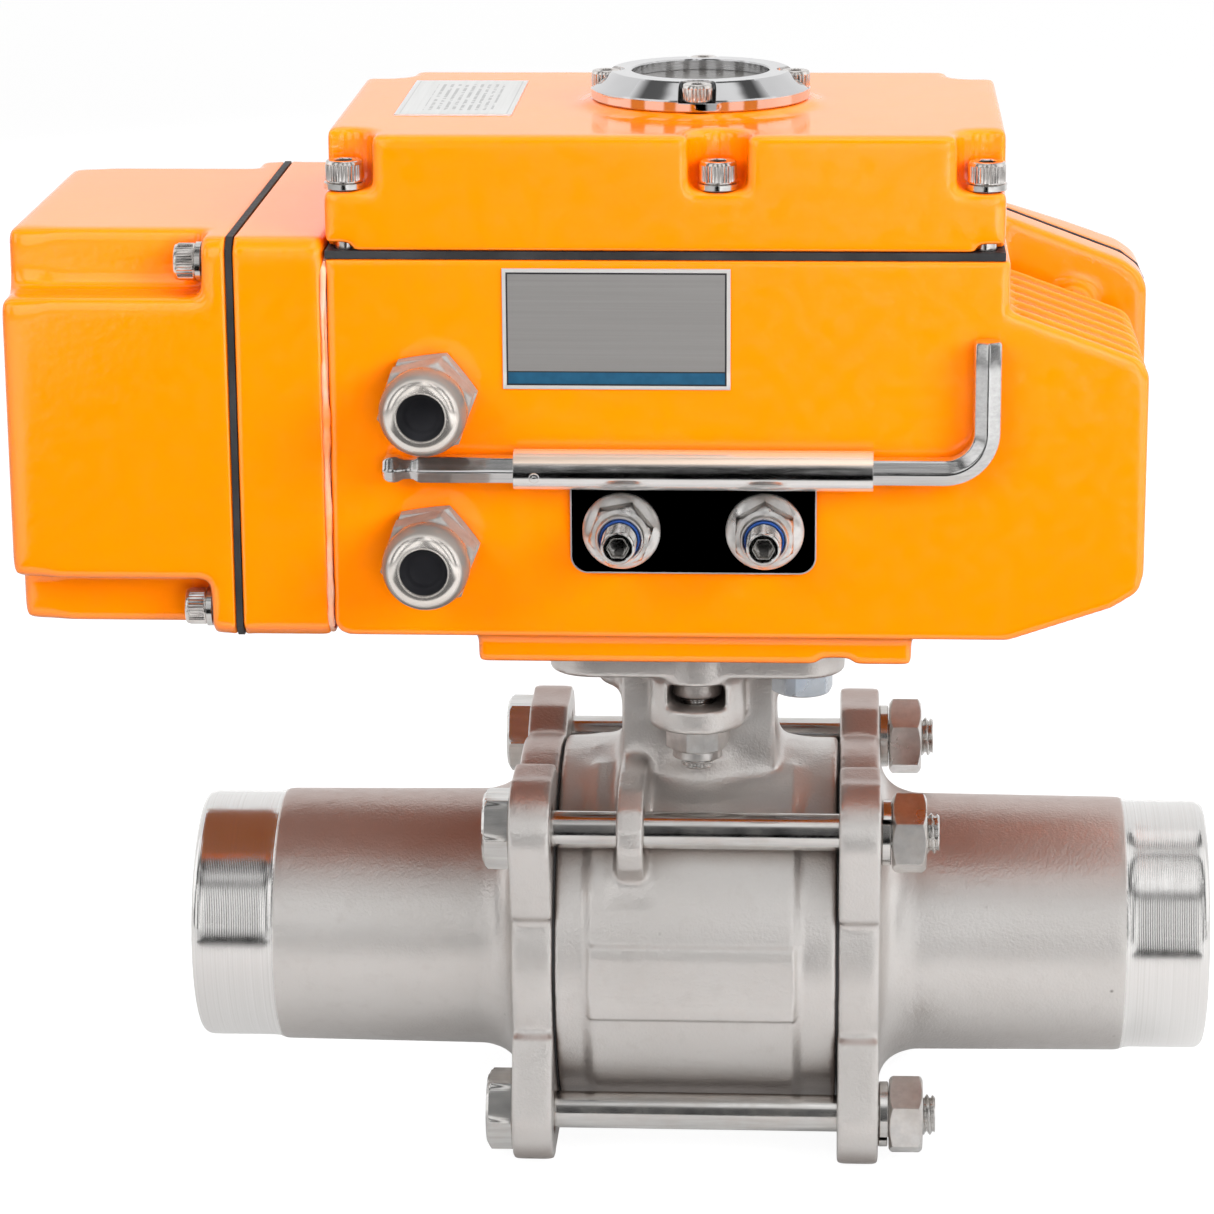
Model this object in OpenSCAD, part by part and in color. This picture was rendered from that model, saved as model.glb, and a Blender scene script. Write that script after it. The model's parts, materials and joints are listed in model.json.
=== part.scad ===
// Motorized quarter-turn valve actuator on a three-piece butt-weld ball valve.
// Origin: centre of the ball. +X runs along the pipe, +Z up the stem, the front faces -Y.
// The model is drawn with the valve open. Cutting shapes run a little past the faces they cut.

/* [Pipe and valve] */
// Outside diameter of the machined weld ends
weld_od = 60.3; // [58:0.1:62]
// Length of each machined weld end
weld_len = 19.3; // [15:0.1:24]
// Distance from the ball centre to each pipe end
half_len = 122.3; // [112:0.1:135]
// Flow bore diameter
bore_d = 50; // [46:0.5:51]
// Ball diameter
ball_d = 74; // [73:0.1:74.4]
// Outside diameter of the middle body
body_d = 89.66; // [88.5:0.01:91]
// Gap plane between middle body and end cap
joint_x = 33.57; // [33.3:0.01:34]
// Thickness of each end cap flange
flange_t = 9.8; // [9:0.1:10]
// Tie bolt offset across the pipe
tie_y = 38; // [37:0.1:39]
// Tie bolt offset up and down
tie_z = 35.5; // [35:0.1:36.5]
// Tie bolt lobe radius
lobe_r = 12; // [11:0.1:12.5]

/* [Mounting pad] */
// Underside of the actuator base
base_z = 78.6; // [78.4:0.1:78.8]
// Thickness of the valve's mounting pad
pad_t = 7; // [6.5:0.1:7.4]
// Bolt circle of the four corner holes
pad_pcd = 70; // [69:0.5:71]
// Offset of the front and rear studs
stud_y = 25; // [24.8:0.1:25.4]

/* [Actuator housing] */
// Left side of the housing
left_x = -82.9; // [-83.2:0.1:-82.6]
// Right side of the cover
right_x = 69.74; // [69.4:0.01:70]
// Half depth of the housing and cover
half_y = 49.94; // [49.8:0.01:50.2]
// Underside of the housing
floor_z = 85.91; // [85.5:0.01:86.3]
// Top of the housing
top_z = 174.08; // [173.8:0.01:174.2]
// Thickness of the cover gasket
gasket_t = 1.8; // [1.6:0.01:1.9]
// Top face of the cover
cover_z = 201.97; // [201.7:0.01:202.2]
// Wall thickness of the castings
wall = 3; // [2.8:0.1:3.1]
// Depth of the cooling fins
fin_depth = 5; // [4:0.1:5.5]
// Spacing of the cooling fins
fin_pitch = 9.3; // [9:0.1:9.6]

/* [Control box] */
// Left side of the control box
box_x = -157.5; // [-160:0.5:-152]
// Rear face of the control box
box_y1 = 57.8; // [57:0.1:58.5]
// Width of the corner recesses in the box cover
box_step = 12; // [11:0.5:12.5]

/* [Cable glands] */
// Sideways position of both cable glands
gland_x = -59.7; // [-61:0.1:-59]
// Height of the upper gland
gland_z1 = 142.5; // [142:0.1:143]
// Height of the lower gland
gland_z2 = 107; // [106.5:0.1:107.5]
// Cable hole radius in the rubber insert
gland_hole_r = 5.5; // [4.5:0.1:5.6]

/* [Drive] */
// Height of the worm and the stop screws
drive_z = 112; // [111.9:0.1:112.1]
// Module of the worm stage
worm_module = 1.75; // [1.75:0.01:1.75]
// Teeth of a full turn of the sector wheel
wheel_teeth = 32; // [32:1:32]
// Teeth of the gear on the worm shaft
worm_gear_teeth = 18; // [18:1:18]
// Teeth of the motor pinion
pinion_teeth = 12; // [12:1:12]
// Sideways position of the two stop screws
stop_x = 16.3; // [16.1:0.1:16.5]

/* [Sight window] */
// Outer radius of the bright ring
ring_r = 25.56; // [25:0.01:26]
// Radius of the ring's inner edge
ring_in_r = 16; // [15.5:0.1:16.5]
// Top of the ring
ring_z = 209.8; // [209.4:0.1:210.2]

/* [Hidden] */
$fn = 64;

// Valve
weld_r = weld_od / 2;
body_r = body_d / 2;
bore_r = bore_d / 2;
ball_r = ball_d / 2;
cap_x0 = joint_x + 0.23;
cap_x1 = cap_x0 + flange_t;
pad_z = base_z - pad_t;
corner_xy = pad_pcd / 2 * cos(45);
stem_r = 9;
packing_z = 56;
packing_pitch = 2;
packing_bore_r = 13;

// M8 studs, bolts and stop screws
m8_r = 3.95;
m8_hole_r = 4;
m8_flats = 13;
m8_collar_r = 5.9;
pad_thread_z1 = 89;

// Housing and top cover
front_y = -half_y;
housing_x1 = right_x + 1.16;
inner_z = floor_z + 5.1;
cover_z0 = top_z + gasket_t;
recess_z = 189.6;
cover_screw_x = [-78.5, 5.45, 65.3];
cover_screw_y = 45.5;

// M5 casing screws, shared by all covers
m5_r = 2.5;
m5_tap_r = 2.55;
m5_hole_r = 2.7;
m5_washer_t = 1.3;

// Control box at the left; X values run from the housing outwards
adapter_x1 = left_x - 0.5;
adapter_x0 = -103.97;
flange_x1 = adapter_x0 - 1.5;
flange_x0 = flange_x1 - 6;
box_z0 = 85.3;
box_z1 = 178.6;
// [y, z] of the control box screws
box_screws = [[-44, 172.2], [-44, 91.2], [box_y1 - 6, 172.2], [box_y1 - 6, 91.2]];

// Motor compartment at the right rear
rear_y0 = 17;
rear_gasket_y = 29.5;
rear_cover_y = rear_gasket_y + 1.5;
rear_y1 = 50;
rear_x1 = 106.2;
// [x, z] of the rear cover screws
rear_screws = [[78, 158.5], [97.5, 152.5], [78, 98], [97.5, 103.5]];
fin_y = [for (i = [0 : 5]) rear_y0 - 1.5 - fin_pitch * (i + 1)];

// Drive: the worm runs along X behind the sector wheel; the spur pair has module 1
wheel_r = wheel_teeth * worm_module / 2;
worm_pitch_r = 8;
worm_y = wheel_r + worm_pitch_r;
worm_pitch = PI * worm_module;
tooth_lean = atan(worm_pitch / (2 * PI * worm_pitch_r));
gear_dist = (worm_gear_teeth + pinion_teeth) / 2;
motor_shift = 3;
motor_y = worm_y - motor_shift;
motor_z = drive_z + sqrt(gear_dist * gear_dist - motor_shift * motor_shift);
motor_dir = atan2(motor_z - drive_z, motor_y - worm_y);
gear_x0 = 30;
gear_x1 = 38;
bearing_x = [-27, 21];
bracket_w = 6;
worm_shaft_r = 3;
bush_r = 18;

ORANGE = [1, 0.62, 0.02];
STEEL = [0.68, 0.66, 0.63];
BRIGHT = [0.82, 0.82, 0.83];
BLACK = [0.07, 0.07, 0.07];
BRASS = [0.8, 0.76, 0.68];
BRONZE = [0.72, 0.5, 0.24];

// ---------- shape helpers ----------
module box(low, high) { translate(low) cube(high - low); }

// Extrude a profile drawn in (Y, Z) from x0 to x1.
module ext_x(x0, x1) {
  translate([x0, 0, 0]) rotate([90, 0, 90]) linear_extrude(x1 - x0) children();
}
// Extrude a profile drawn in (X, Z) from y0 to y1.
module ext_y(y0, y1) {
  translate([0, y1, 0]) rotate([90, 0, 0]) linear_extrude(y1 - y0) children();
}

module cyl_x(r, x0, x1, y = 0, z = 0) {
  translate([x0, y, z]) rotate([0, 90, 0]) cylinder(r = r, h = x1 - x0);
}
module cyl_y(r, y0, y1, x = 0, z = 0) {
  translate([x, y0, z]) rotate([-90, 0, 0]) cylinder(r = r, h = y1 - y0);
}
module cyl_z(r, z0, z1, x = 0, y = 0) { translate([x, y, z0]) cylinder(r = r, h = z1 - z0); }

// Turn a profile of [radius, position] points about the X or Z axis.
module turn_x(points) { rotate([0, 90, 0]) rotate_extrude() polygon(points); }
module turn_z(points) { rotate_extrude() polygon(points); }

// Hexagonal bars, given by their width across flats.
module hex_bar(flats, length) { cylinder(r = flats / 2 / cos(30), h = length, $fn = 6); }
module hex_x(flats, x0, x1, y = 0, z = 0, turn = 0) {
  translate([x0, y, z]) rotate([0, 90, 0]) rotate([0, 0, turn]) hex_bar(flats, x1 - x0);
}
module hex_y(flats, y0, y1, x = 0, z = 0) {
  translate([x, y0, z]) rotate([-90, 0, 0]) hex_bar(flats, y1 - y0);
}
module hex_z(flats, z0, z1, x = 0, y = 0, turn = 0) {
  translate([x, y, z0]) rotate([0, 0, turn]) hex_bar(flats, z1 - z0);
}

// Hexagon with chamfered corners, lower face at z = 0.
module nut_blank(flats, height, low_bevel = true, high_bevel = true) {
  corner_r = flats / 2 / cos(30);
  face_r = flats * 0.48;
  outer_r = corner_r + 0.1;
  bevel = (corner_r - face_r) * 0.577;
  low_z = low_bevel ? bevel : 0.01;
  high_z = height - (high_bevel ? bevel : 0.01);
  intersection() {
    cylinder(r = corner_r, h = height, $fn = 6);
    rotate_extrude() polygon([[0, 0], [low_bevel ? face_r : outer_r, 0], [outer_r, low_z],
      [outer_r, high_z], [high_bevel ? face_r : outer_r, height], [0, height]]);
  }
}

module washer(outer_r, inner_r, thick) {
  difference() {
    cylinder(r = outer_r, h = thick);
    translate([0, 0, -1]) cylinder(r = inner_r, h = thick + 2);
  }
}

// M5 socket head screw pointing down -Z, with the underside of the head at the origin.
module m5_screw(length) {
  difference() {
    union() {
      cyl_z(4.25, 0, 5);
      cyl_z(m5_r, -length, 0.5);
    }
    hex_z(4, 2.4, 6);
  }
}

// ---------- placing helpers ----------
module both_x() { for (m = [0, 1]) mirror([m, 0, 0]) children(); }
module both_y() { for (m = [0, 1]) mirror([0, m, 0]) children(); }
module at_ties() {
  for (y = [-tie_y, tie_y], z = [-tie_z, tie_z]) translate([0, y, z]) children();
}
module at_corners() {
  for (x = [-corner_xy, corner_xy], y = [-corner_xy, corner_xy]) translate([x, y, 0]) children();
}
module at_studs() { for (side = [-1, 1]) translate([0, side * stud_y, 0]) children(); }
module at_cover_screws() {
  for (x = cover_screw_x, y = [-cover_screw_y, cover_screw_y]) translate([x, y, 0]) children();
}
module at_box_screws() { for (p = box_screws) translate([0, p[0], p[1]]) children(); }
module at_rear_screws() { for (p = rear_screws) translate([p[0], 0, p[1]]) children(); }
module at_glands() { for (z = [gland_z1, gland_z2]) translate([gland_x, 0, z]) children(); }
module at_stops() { for (side = [-1, 1]) translate([side * stop_x, 0, drive_z]) children(); }
// Stand a piece drawn along +Z on the front face, pointing forwards.
module on_front() { translate([0, front_y, 0]) rotate([90, 0, 0]) children(); }

// ---------- valve ----------
corner_r = 10;
boss_r = 11;
boss_z0 = 58.2;
nut_slot_z0 = 63.9;
nut_slot_z1 = base_z - 8.7;
nut_slot_half = 6.7;
// [x, z] half outline of the webs between neck and pad
web_outline = [[18, 59.5], [18.6, 61.5], [20.3, 63.3], [22.8, 64.3], [24.2, 66], [24.4, 68],
  [24.4, 72.5], [18, 72.5]];
// [y, z] outline of the ear around the upper front tie bolt
ear_outline = [[-18, 47], [-29, 47], [-38, 45.4], [-43.6, 42], [-46.6, 37.5], [-46.6, 32.5],
  [-44.4, 27.5], [-39, 22.5], [-20, 22.5]];

module valve_body() {
  color(STEEL) difference() {
    union() {
      cyl_x(body_r, -joint_x + 0.22, joint_x - 0.22);
      // raised middle band and the blank raised panel on its front
      cyl_x(body_r + 0.6, -25.7, 23.6);
      intersection() {
        cyl_x(body_r + 1.3, -24, 22.3);
        box([-30, -60, -9.3], [30, 0, 8.8]);
      }
      // neck and its round foot
      box([-18.35, -17.2, 30], [18.35, 17.2, pad_z + 1]);
      cyl_z(19.6, 30, 47.5);
      mounting_pad();
      ext_x(-18.5, -12.1) polygon(ear_outline);
    }
    cyl_x(38, -joint_x - 1, joint_x + 1);
    // stepped bore for stem, packing and actuator
    cyl_z(11.5, 30, 42.2);
    cyl_z(stem_r + 0.1, 40, 60);
    cyl_z(packing_bore_r, packing_z, 76);
    cyl_z(15, 71.2, base_z + 1);
    at_corners() cyl_z(4.3, pad_z - 1, base_z + 1);
    // stud holes, with a slot for a nut open to front or rear
    both_y() {
      cyl_z(4.3, 50, base_z + 1, 0, stud_y);
      box([-nut_slot_half, 18.35, nut_slot_z0], [nut_slot_half, stud_y + 14, nut_slot_z1]);
    }
    cyl_x(5.2, -25, 0, -tie_y, tie_z);
  }
}

// Square pad with rounded corners, the webs under its sides and the two stud bosses.
module mounting_pad() {
  outer = corner_xy + corner_r;
  box([-outer, -corner_xy, pad_z], [outer, corner_xy, base_z]);
  box([-corner_xy, -outer, pad_z], [corner_xy, outer, base_z]);
  at_corners() cyl_z(corner_r, pad_z, base_z);
  ext_y(-14, 14) for (m = [0, 1]) mirror([m, 0]) polygon(web_outline);
  both_y() {
    cyl_z(boss_r, nut_slot_z1, base_z, 0, stud_y);
    cyl_z(boss_r + 0.3, boss_z0, nut_slot_z0, 0, stud_y);
    cyl_z(boss_r, boss_z0, base_z - 1, 0, stud_y);
    box([-boss_r, 10, boss_z0], [boss_r, stud_y, base_z - 1]);
  }
}

// [y, z] outline joining each tie bolt lobe to the round cap, first quadrant
lobe_outline = [[44.6, 15], [49.2, 31], [40, 46.6], [24, 47.3], [15, 42], [0, 0]];

// End cap for the +X side; the other side is its mirror image.
module end_cap() {
  weld_x = half_len - weld_len;
  difference() {
    union() {
      turn_x([[bore_r - 4, cap_x0], [body_r, cap_x0], [body_r, cap_x1 - 0.8],
        [body_r - 0.8, cap_x1], [38.5, cap_x1], [34.8, cap_x1 + 1.6], [32.6, cap_x1 + 4.4],
        [31.4, cap_x1 + 8.5], [30.93, weld_x - 0.8], [weld_r, weld_x + 0.4],
        [weld_r, half_len - 1.2], [weld_r - 1.2, half_len], [bore_r - 4, half_len]]);
      for (y = [-1, 1], z = [-1, 1]) {
        cyl_x(lobe_r, cap_x0, cap_x1, y * tie_y, z * tie_z);
        ext_x(cap_x0, cap_x1) polygon([for (p = lobe_outline) [y * p[0], z * p[1]]]);
      }
    }
    // bore, flared at the pipe end
    turn_x([[0, 0], [bore_r, 0], [bore_r, half_len - 3], [bore_r + 0.001, half_len - 3],
      [bore_r + 1.5, half_len + 1], [0, half_len + 1]]);
    at_ties() cyl_x(5.4, 30, 50);
  }
}
module end_cap_right() { color(STEEL) end_cap(); }
module end_cap_left() { color(STEEL) mirror([1, 0, 0]) end_cap(); }

module seat() {
  difference() {
    turn_x([[bore_r + 0.1, 21], [37.8, 21], [37.8, cap_x0 - 0.05], [bore_r + 0.1, cap_x0 - 0.05]]);
    sphere(r = ball_r + 0.05);
  }
}
module seat_right() { color("white") seat(); }
module seat_left() { color("white") mirror([1, 0, 0]) seat(); }

module body_seals() {
  color([0.2, 0.2, 0.22]) both_x() turn_x([[39, joint_x - 0.2], [43.6, joint_x - 0.2],
    [43.6, joint_x + 0.2], [39, joint_x + 0.2]]);
}

module ball() {
  color(BRIGHT) difference() {
    sphere(r = ball_r);
    cyl_x(bore_r, -50, 50);
    // slot for the stem
    box([-4.2, -30, 29], [4.2, 30, 50]);
  }
}

module valve_stem() {
  color(BRIGHT) union() {
    // tongue in the ball
    intersection() {
      box([-3.9, -12, 29.4], [3.9, 12, 39]);
      cyl_z(10.5, 29, 40);
    }
    cyl_z(11.3, 38.2, 42);
    cyl_z(stem_r, 41, 77);
    // square end with rounded corners
    intersection() {
      box([-5.5, -5.5, 76], [5.5, 5.5, 95]);
      cyl_z(7.2, 76, 95);
    }
  }
}
// Ring around the stem.
module stem_collar(outer_r, z0, z1) {
  turn_z([[stem_r + 0.08, z0], [outer_r, z0], [outer_r, z1], [stem_r + 0.08, z1]]);
}
module stem_packing() {
  color("ivory") for (i = [0 : 2])
    stem_collar(packing_bore_r - 0.05, packing_z + packing_pitch * i + 0.05,
      packing_z + packing_pitch * (i + 1) - 0.05);
}
module packing_gland() {
  color(STEEL) stem_collar(packing_bore_r - 0.1, packing_z + 3 * packing_pitch + 0.05, 71.3);
}
module stem_nut() {
  color(BRIGHT) difference() {
    hex_z(22, 71.5, 76.8);
    cyl_z(stem_r + 0.05, 70, 80);
  }
}

// ---------- tie bolts ----------
tie_flats = 17;
tie_head_t = 6.4;
tie_washer_t = 2.6;

module tie_bolts() {
  color(BRIGHT) at_ties() {
    difference() {
      translate([-cap_x1 - tie_head_t, 0, 0]) rotate([0, 90, 0]) rotate([0, 0, 30])
        nut_blank(tie_flats, tie_head_t, high_bevel = false);
      cyl_x(2, -cap_x1 - 7, -cap_x1 - 6);
    }
    cyl_x(4.4, -cap_x1 - 0.1, 36);
    cyl_x(4.85, 35, 57.2);
  }
}
module tie_nuts() {
  color(BRIGHT) at_ties() difference() {
    translate([cap_x1 + tie_washer_t, 0, 0]) rotate([0, 90, 0]) nut_blank(tie_flats, 8);
    cyl_x(4.9, 40, 60);
  }
}
module tie_spring_washers() {
  color([0.5, 0.5, 0.5]) at_ties() difference() {
    cyl_x(7.8, cap_x1, cap_x1 + tie_washer_t);
    cyl_x(5, 40, 60);
    // the split
    rotate([20, 0, 0]) translate([cap_x1 + tie_washer_t / 2, 6, 0])
      cube([4, 6, 0.8], center = true);
  }
}

// ---------- pad fasteners ----------
module pad_studs() { color(BRIGHT) at_studs() cyl_z(m8_r, 47.5, pad_thread_z1); }
module pad_stud_nuts() {
  color(BRIGHT) at_studs() difference() {
    union() {
      translate([0, 0, 52.2]) rotate([0, 0, 12]) nut_blank(m8_flats, 5.95);
      cyl_z(m8_collar_r, 50.2, 53);
    }
    cyl_z(m8_hole_r, 40, 60);
  }
}
module pad_stud_collars() {
  color(STEEL) at_studs() difference() {
    cyl_z(5.75, 65.3, base_z - 8.75);
    cyl_z(m8_hole_r, 60, 80);
  }
}
// Two bolts on one diagonal of the pad.
module pad_bolts() {
  head_t = 5.3;
  color([0.75, 0.78, 0.82]) for (side = [-1, 1])
    translate([-side * corner_xy, side * corner_xy, 0]) {
      translate([0, 0, pad_z - head_t]) rotate([0, 0, 18])
        nut_blank(m8_flats, head_t, high_bevel = false);
      cyl_z(m8_r, pad_z - 1, pad_thread_z1);
    }
}

// ---------- housing ----------
// Right-hand part of the front wall and of the fins, in (X, Z), shrunk by inset.
module wing_profile(inset = 0) {
  polygon([[40, floor_z + inset * 1.1], [72.1, floor_z + inset * 1.1],
    [95.5 - inset * 0.6, 93.9 + inset], [101.2 - inset, 97.6 + inset * 0.8],
    [102.4 - inset, 101.7 + inset * 0.5], [102.4 - inset, 148.2 - inset * 0.5],
    [100.5 - inset, 151.6 - inset * 0.8], [95.3 - inset * 0.6, 153.7 - inset],
    [housing_x1, 162.5 - inset], [housing_x1, 168], [40, 168]]);
}
// Section of the motor compartment, in (X, Z), from x0 rightwards, shrunk by inset.
module rear_profile(x0, inset = 0) {
  polygon([[x0, 88 + inset], [76, 88 + inset], [95.5, 94 + inset], [103.5 - inset, 98.5 + inset],
    [rear_x1 - inset, 103 + inset * 0.5], [rear_x1 - inset, 155 - inset * 0.5],
    [104.6 - inset * 0.9, 158.4 - inset * 0.7], [100.5 - inset * 0.6, 161.5 - inset],
    [x0, 172.6 - 0.375 * (x0 - housing_x1) - inset * 1.1]]);
}

module housing() {
  color(ORANGE) difference() {
    union() {
      difference() {
        housing_outside();
        housing_inside();
      }
      shoulder_fins();
      // screw columns inside the tub
      intersection() {
        at_cover_screws() cyl_z(6, 150, top_z);
        box([left_x + 1, front_y + 1, 152], [housing_x1 - 1, half_y - 1, top_z]);
      }
      // bearing brackets for the worm
      for (x = bearing_x)
        box([x, worm_y - 9.5, drive_z - 9.5], [x + bracket_w, half_y - 1, drive_z + 9.5]);
      // outboard bracket of the manual drive and rear screw bosses
      box([86, rear_y0 + 1, 103], [91, worm_y + 5.5, 117.2]);
      at_rear_screws() cyl_y(5.5, rear_y0 + 1, rear_gasket_y);
    }
    at_cover_screws() cyl_z(m5_tap_r, 158, top_z + 1);
    for (x = bearing_x) cyl_x(8.03, x - 1, x + bracket_w + 1, worm_y, drive_z);
    cyl_x(worm_shaft_r + 0.1, 85, 92, worm_y, drive_z);
    at_rear_screws() cyl_y(m5_tap_r, rear_y0 + 4, rear_gasket_y + 1);
    // output bore and pad fastener holes
    cyl_z(bush_r + 0.03, base_z - 1, inner_z + 1);
    at_corners() cyl_z(m8_hole_r, base_z - 1, pad_thread_z1 + 0.5);
    at_studs() cyl_z(m8_hole_r, base_z - 1, pad_thread_z1 + 0.5);
    // relief under the front of the base boss
    box([28.5, -47, base_z - 1], [36.5, -39, base_z + 1.4]);
    // stop screw, gland and wiring holes
    at_stops() cyl_y(4.05, front_y - 1, front_y + 8);
    at_glands() cyl_y(8.1, front_y - 1, front_y + 8);
    cyl_x(12, left_x - 1, left_x + 5, 0, 125);
  }
}

module housing_outside() {
  // main tub with rounded bottom left edge
  ext_y(front_y, half_y) polygon([[left_x, top_z], [left_x, floor_z + 3.2],
    [left_x + 1, floor_z + 1], [left_x + 3.2, floor_z], [housing_x1, floor_z],
    [housing_x1, top_z]]);
  ext_y(front_y, front_y + 3.4) wing_profile();
  ext_y(front_y + 1, rear_y0 + 1) wing_profile(fin_depth);
  ext_y(rear_y0, rear_gasket_y) rear_profile(housing_x1 - 2);
  // base boss
  box([-50, -46, base_z], [50, 46, floor_z + 1]);
  // round bump on the front of the motor compartment
  translate([88.4, rear_y0, 151]) rotate([90, 0, 0]) cylinder(r = 5.2, h = 4);
}

module housing_inside() {
  box([left_x + wall, front_y + wall, inner_z], [housing_x1 - wall, half_y - wall, top_z + 1]);
  ext_y(front_y + wall + 0.6, rear_y0 - 1) intersection() {
    wing_profile(fin_depth + wall);
    translate([50, inner_z]) square([70, 62]);
  }
  ext_y(rear_y0 + wall, rear_gasket_y + 1) rear_profile(50, 4);
  box([housing_x1 - wall - 2, rear_y0 + wall, 100], [housing_x1 + 2, half_y - wall - 1, 142]);
}

// Cooling fins around the part of the housing right of the tub.
module shoulder_fins() {
  for (y = fin_y) ext_y(y - 1.4, y + 1.4) difference() {
    wing_profile();
    translate([20, 0]) square([housing_x1 - 20.5, 300]);
    translate([0, 60]) square([200, 50]);
    wing_profile(fin_depth + 1);
  }
}

// ---------- top cover ----------
sight_screw_r = 22;

// Round pockets at the cover screws, open to the front or rear side.
module screw_pockets(radius, z0, z1) {
  for (x = cover_screw_x) both_y() {
    cyl_z(radius, z0, z1, x, cover_screw_y);
    box([x - radius, cover_screw_y, z0], [x + radius, 60, z1]);
  }
}

module top_cover() {
  color(ORANGE) difference() {
    union() {
      difference() {
        box([left_x, front_y, cover_z0], [right_x, half_y, cover_z]);
        difference() {
          box([left_x + wall, front_y + wall, cover_z0 - 1],
            [right_x - wall, half_y - wall, cover_z - 3.4]);
          screw_pockets(9.2, cover_z0 - 2, cover_z);
        }
      }
      // collar around the sight window
      cyl_z(26.7, cover_z - 4, 203.4);
      cyl_z(20.5, 195, cover_z);
    }
    screw_pockets(6.6, recess_z, 210);
    // carry the corner pockets out to the left and right sides
    for (span = [[-60, -cover_screw_y + 3.5], [cover_screw_y, 60]]) {
      box([left_x - 1, span[0], recess_z], [left_x + 6, span[1], 210]);
      box([right_x - 5, span[0], recess_z], [right_x + 1, span[1], 210]);
    }
    // small relief under each corner
    both_y() {
      box([left_x - 1, half_y - 6.3, cover_z0 - 1], [left_x + 6.4, 60, cover_z0 + 1.7]);
      box([right_x - 6.7, half_y - 6.3, cover_z0 - 1], [right_x + 1, 60, cover_z0 + 1.7]);
    }
    at_cover_screws() cyl_z(m5_hole_r, cover_z0 - 1, 200);
    // window opening, O-ring groove and ring screw holes
    cyl_z(15.2, 190, 210);
    turn_z([[15.9, 201.8], [17.95, 201.8], [17.95, 204], [15.9, 204]]);
    at_sight_screws() cyl_z(2.03, 196, 204, sight_screw_r, 0);
  }
}
module cover_gasket() {
  color(BLACK) difference() {
    box([left_x, front_y, top_z], [right_x, half_y, cover_z0]);
    difference() {
      box([left_x + 5, front_y + 5, top_z - 1], [right_x - 5, half_y - 5, cover_z0 + 1]);
      at_cover_screws() cyl_z(6, top_z - 2, cover_z0 + 2);
    }
    at_cover_screws() cyl_z(m5_hole_r, top_z - 1, cover_z0 + 1);
  }
}

// Screws stand on washers, lifted off each cover by the washer thickness.
module casing_screws() {
  color(BRIGHT) {
    at_cover_screws() translate([0, 0, recess_z + m5_washer_t]) m5_screw(29);
    at_box_screws() translate([flange_x0 - m5_washer_t, 0, 0]) rotate([0, -90, 0]) m5_screw(18);
    at_rear_screws() translate([0, rear_y1 + m5_washer_t, 0]) rotate([-90, 0, 0]) m5_screw(27);
  }
}
module m5_washer() { washer(4.6, 2.6, m5_washer_t); }
module casing_screw_washers() {
  color([0.6, 0.6, 0.6]) {
    at_cover_screws() translate([0, 0, recess_z]) m5_washer();
    at_box_screws() translate([flange_x0, 0, 0]) rotate([0, -90, 0]) m5_washer();
    at_rear_screws() translate([0, rear_y1, 0]) rotate([-90, 0, 0]) m5_washer();
  }
}

// ---------- sight window ----------
module at_sight_screws() { for (angle = [0, 90, 180, 270]) rotate([0, 0, angle]) children(); }

module sight_ring() {
  color("gainsboro") difference() {
    turn_z([[ring_in_r, 207.3], [18.2, 207.3], [18.2, 203.4], [ring_r - 0.3, 203.4],
      [ring_r, 203.7], [ring_r, 205.8], [ring_r - 0.3, 206.1], [21.2, ring_z - 0.3],
      [20.8, ring_z], [ring_in_r + 0.3, ring_z], [ring_in_r, ring_z - 0.3]]);
    // screw seats, open to the outside
    at_sight_screws() {
      cyl_z(4.3, 205.5, 215, sight_screw_r, 0);
      box([sight_screw_r, -4.3, 205.5], [40, 4.3, 215]);
      cyl_z(2.1, 200, 215, sight_screw_r, 0);
    }
  }
}
module sight_glass() {
  color([0.75, 0.8, 0.82, 0.5]) turn_z([[0, 203.62], [17.9, 203.62], [17.9, 207.25], [0, 207.25]]);
}
module sight_oring() {
  color(BLACK) rotate_extrude() translate([16.92, 202.7]) circle(r = 0.9, $fn = 24);
}
module sight_ring_screws() {
  color(BRIGHT) at_sight_screws() difference() {
    union() {
      cyl_z(3.5, 205.55, 209.55, sight_screw_r, 0);
      cyl_z(2, 197, 206, sight_screw_r, 0);
    }
    hex_z(3, 207.5, 211, sight_screw_r, 0);
  }
}
module position_indicator() {
  color([0.9, 0.2, 0.1]) difference() {
    union() {
      turn_z([[5.05, 191], [14.5, 191], [14.5, 194.5], [12, 196.5], [5.05, 196.5]]);
      box([-12.5, -2.2, 196], [12.5, 2.2, 198.5]);
      cyl_z(6, 196, 198.5);
    }
    cyl_z(5.05, 190, 197);
  }
}

// ---------- control box ----------
// Block with the chamfered rectangular section of the control box, shrunk by inset.
module box_block(x0, x1, inset = 0) {
  chamfer = 2.5;
  ya = front_y + inset;
  yb = box_y1 - inset;
  za = box_z0 + inset;
  zb = box_z1 - inset;
  ext_x(x0, x1) polygon([[ya + chamfer, za], [ya, za + chamfer], [ya, zb - chamfer],
    [ya + chamfer, zb], [yb - chamfer, zb], [yb, zb - chamfer], [yb, za + chamfer],
    [yb - chamfer, za]]);
}
module box_adapter() {
  color(ORANGE) difference() {
    union() {
      difference() {
        box_block(adapter_x0, adapter_x1);
        box_block(adapter_x0 - 1, adapter_x1 - 3.5, 4);
      }
      at_box_screws() cyl_x(6, adapter_x0, adapter_x1 - 2);
    }
    at_box_screws() cyl_x(m5_tap_r, adapter_x0 - 1, adapter_x1 - 4);
    cyl_x(12, adapter_x1 - 5, adapter_x1 + 1, 0, 125);
  }
}
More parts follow.
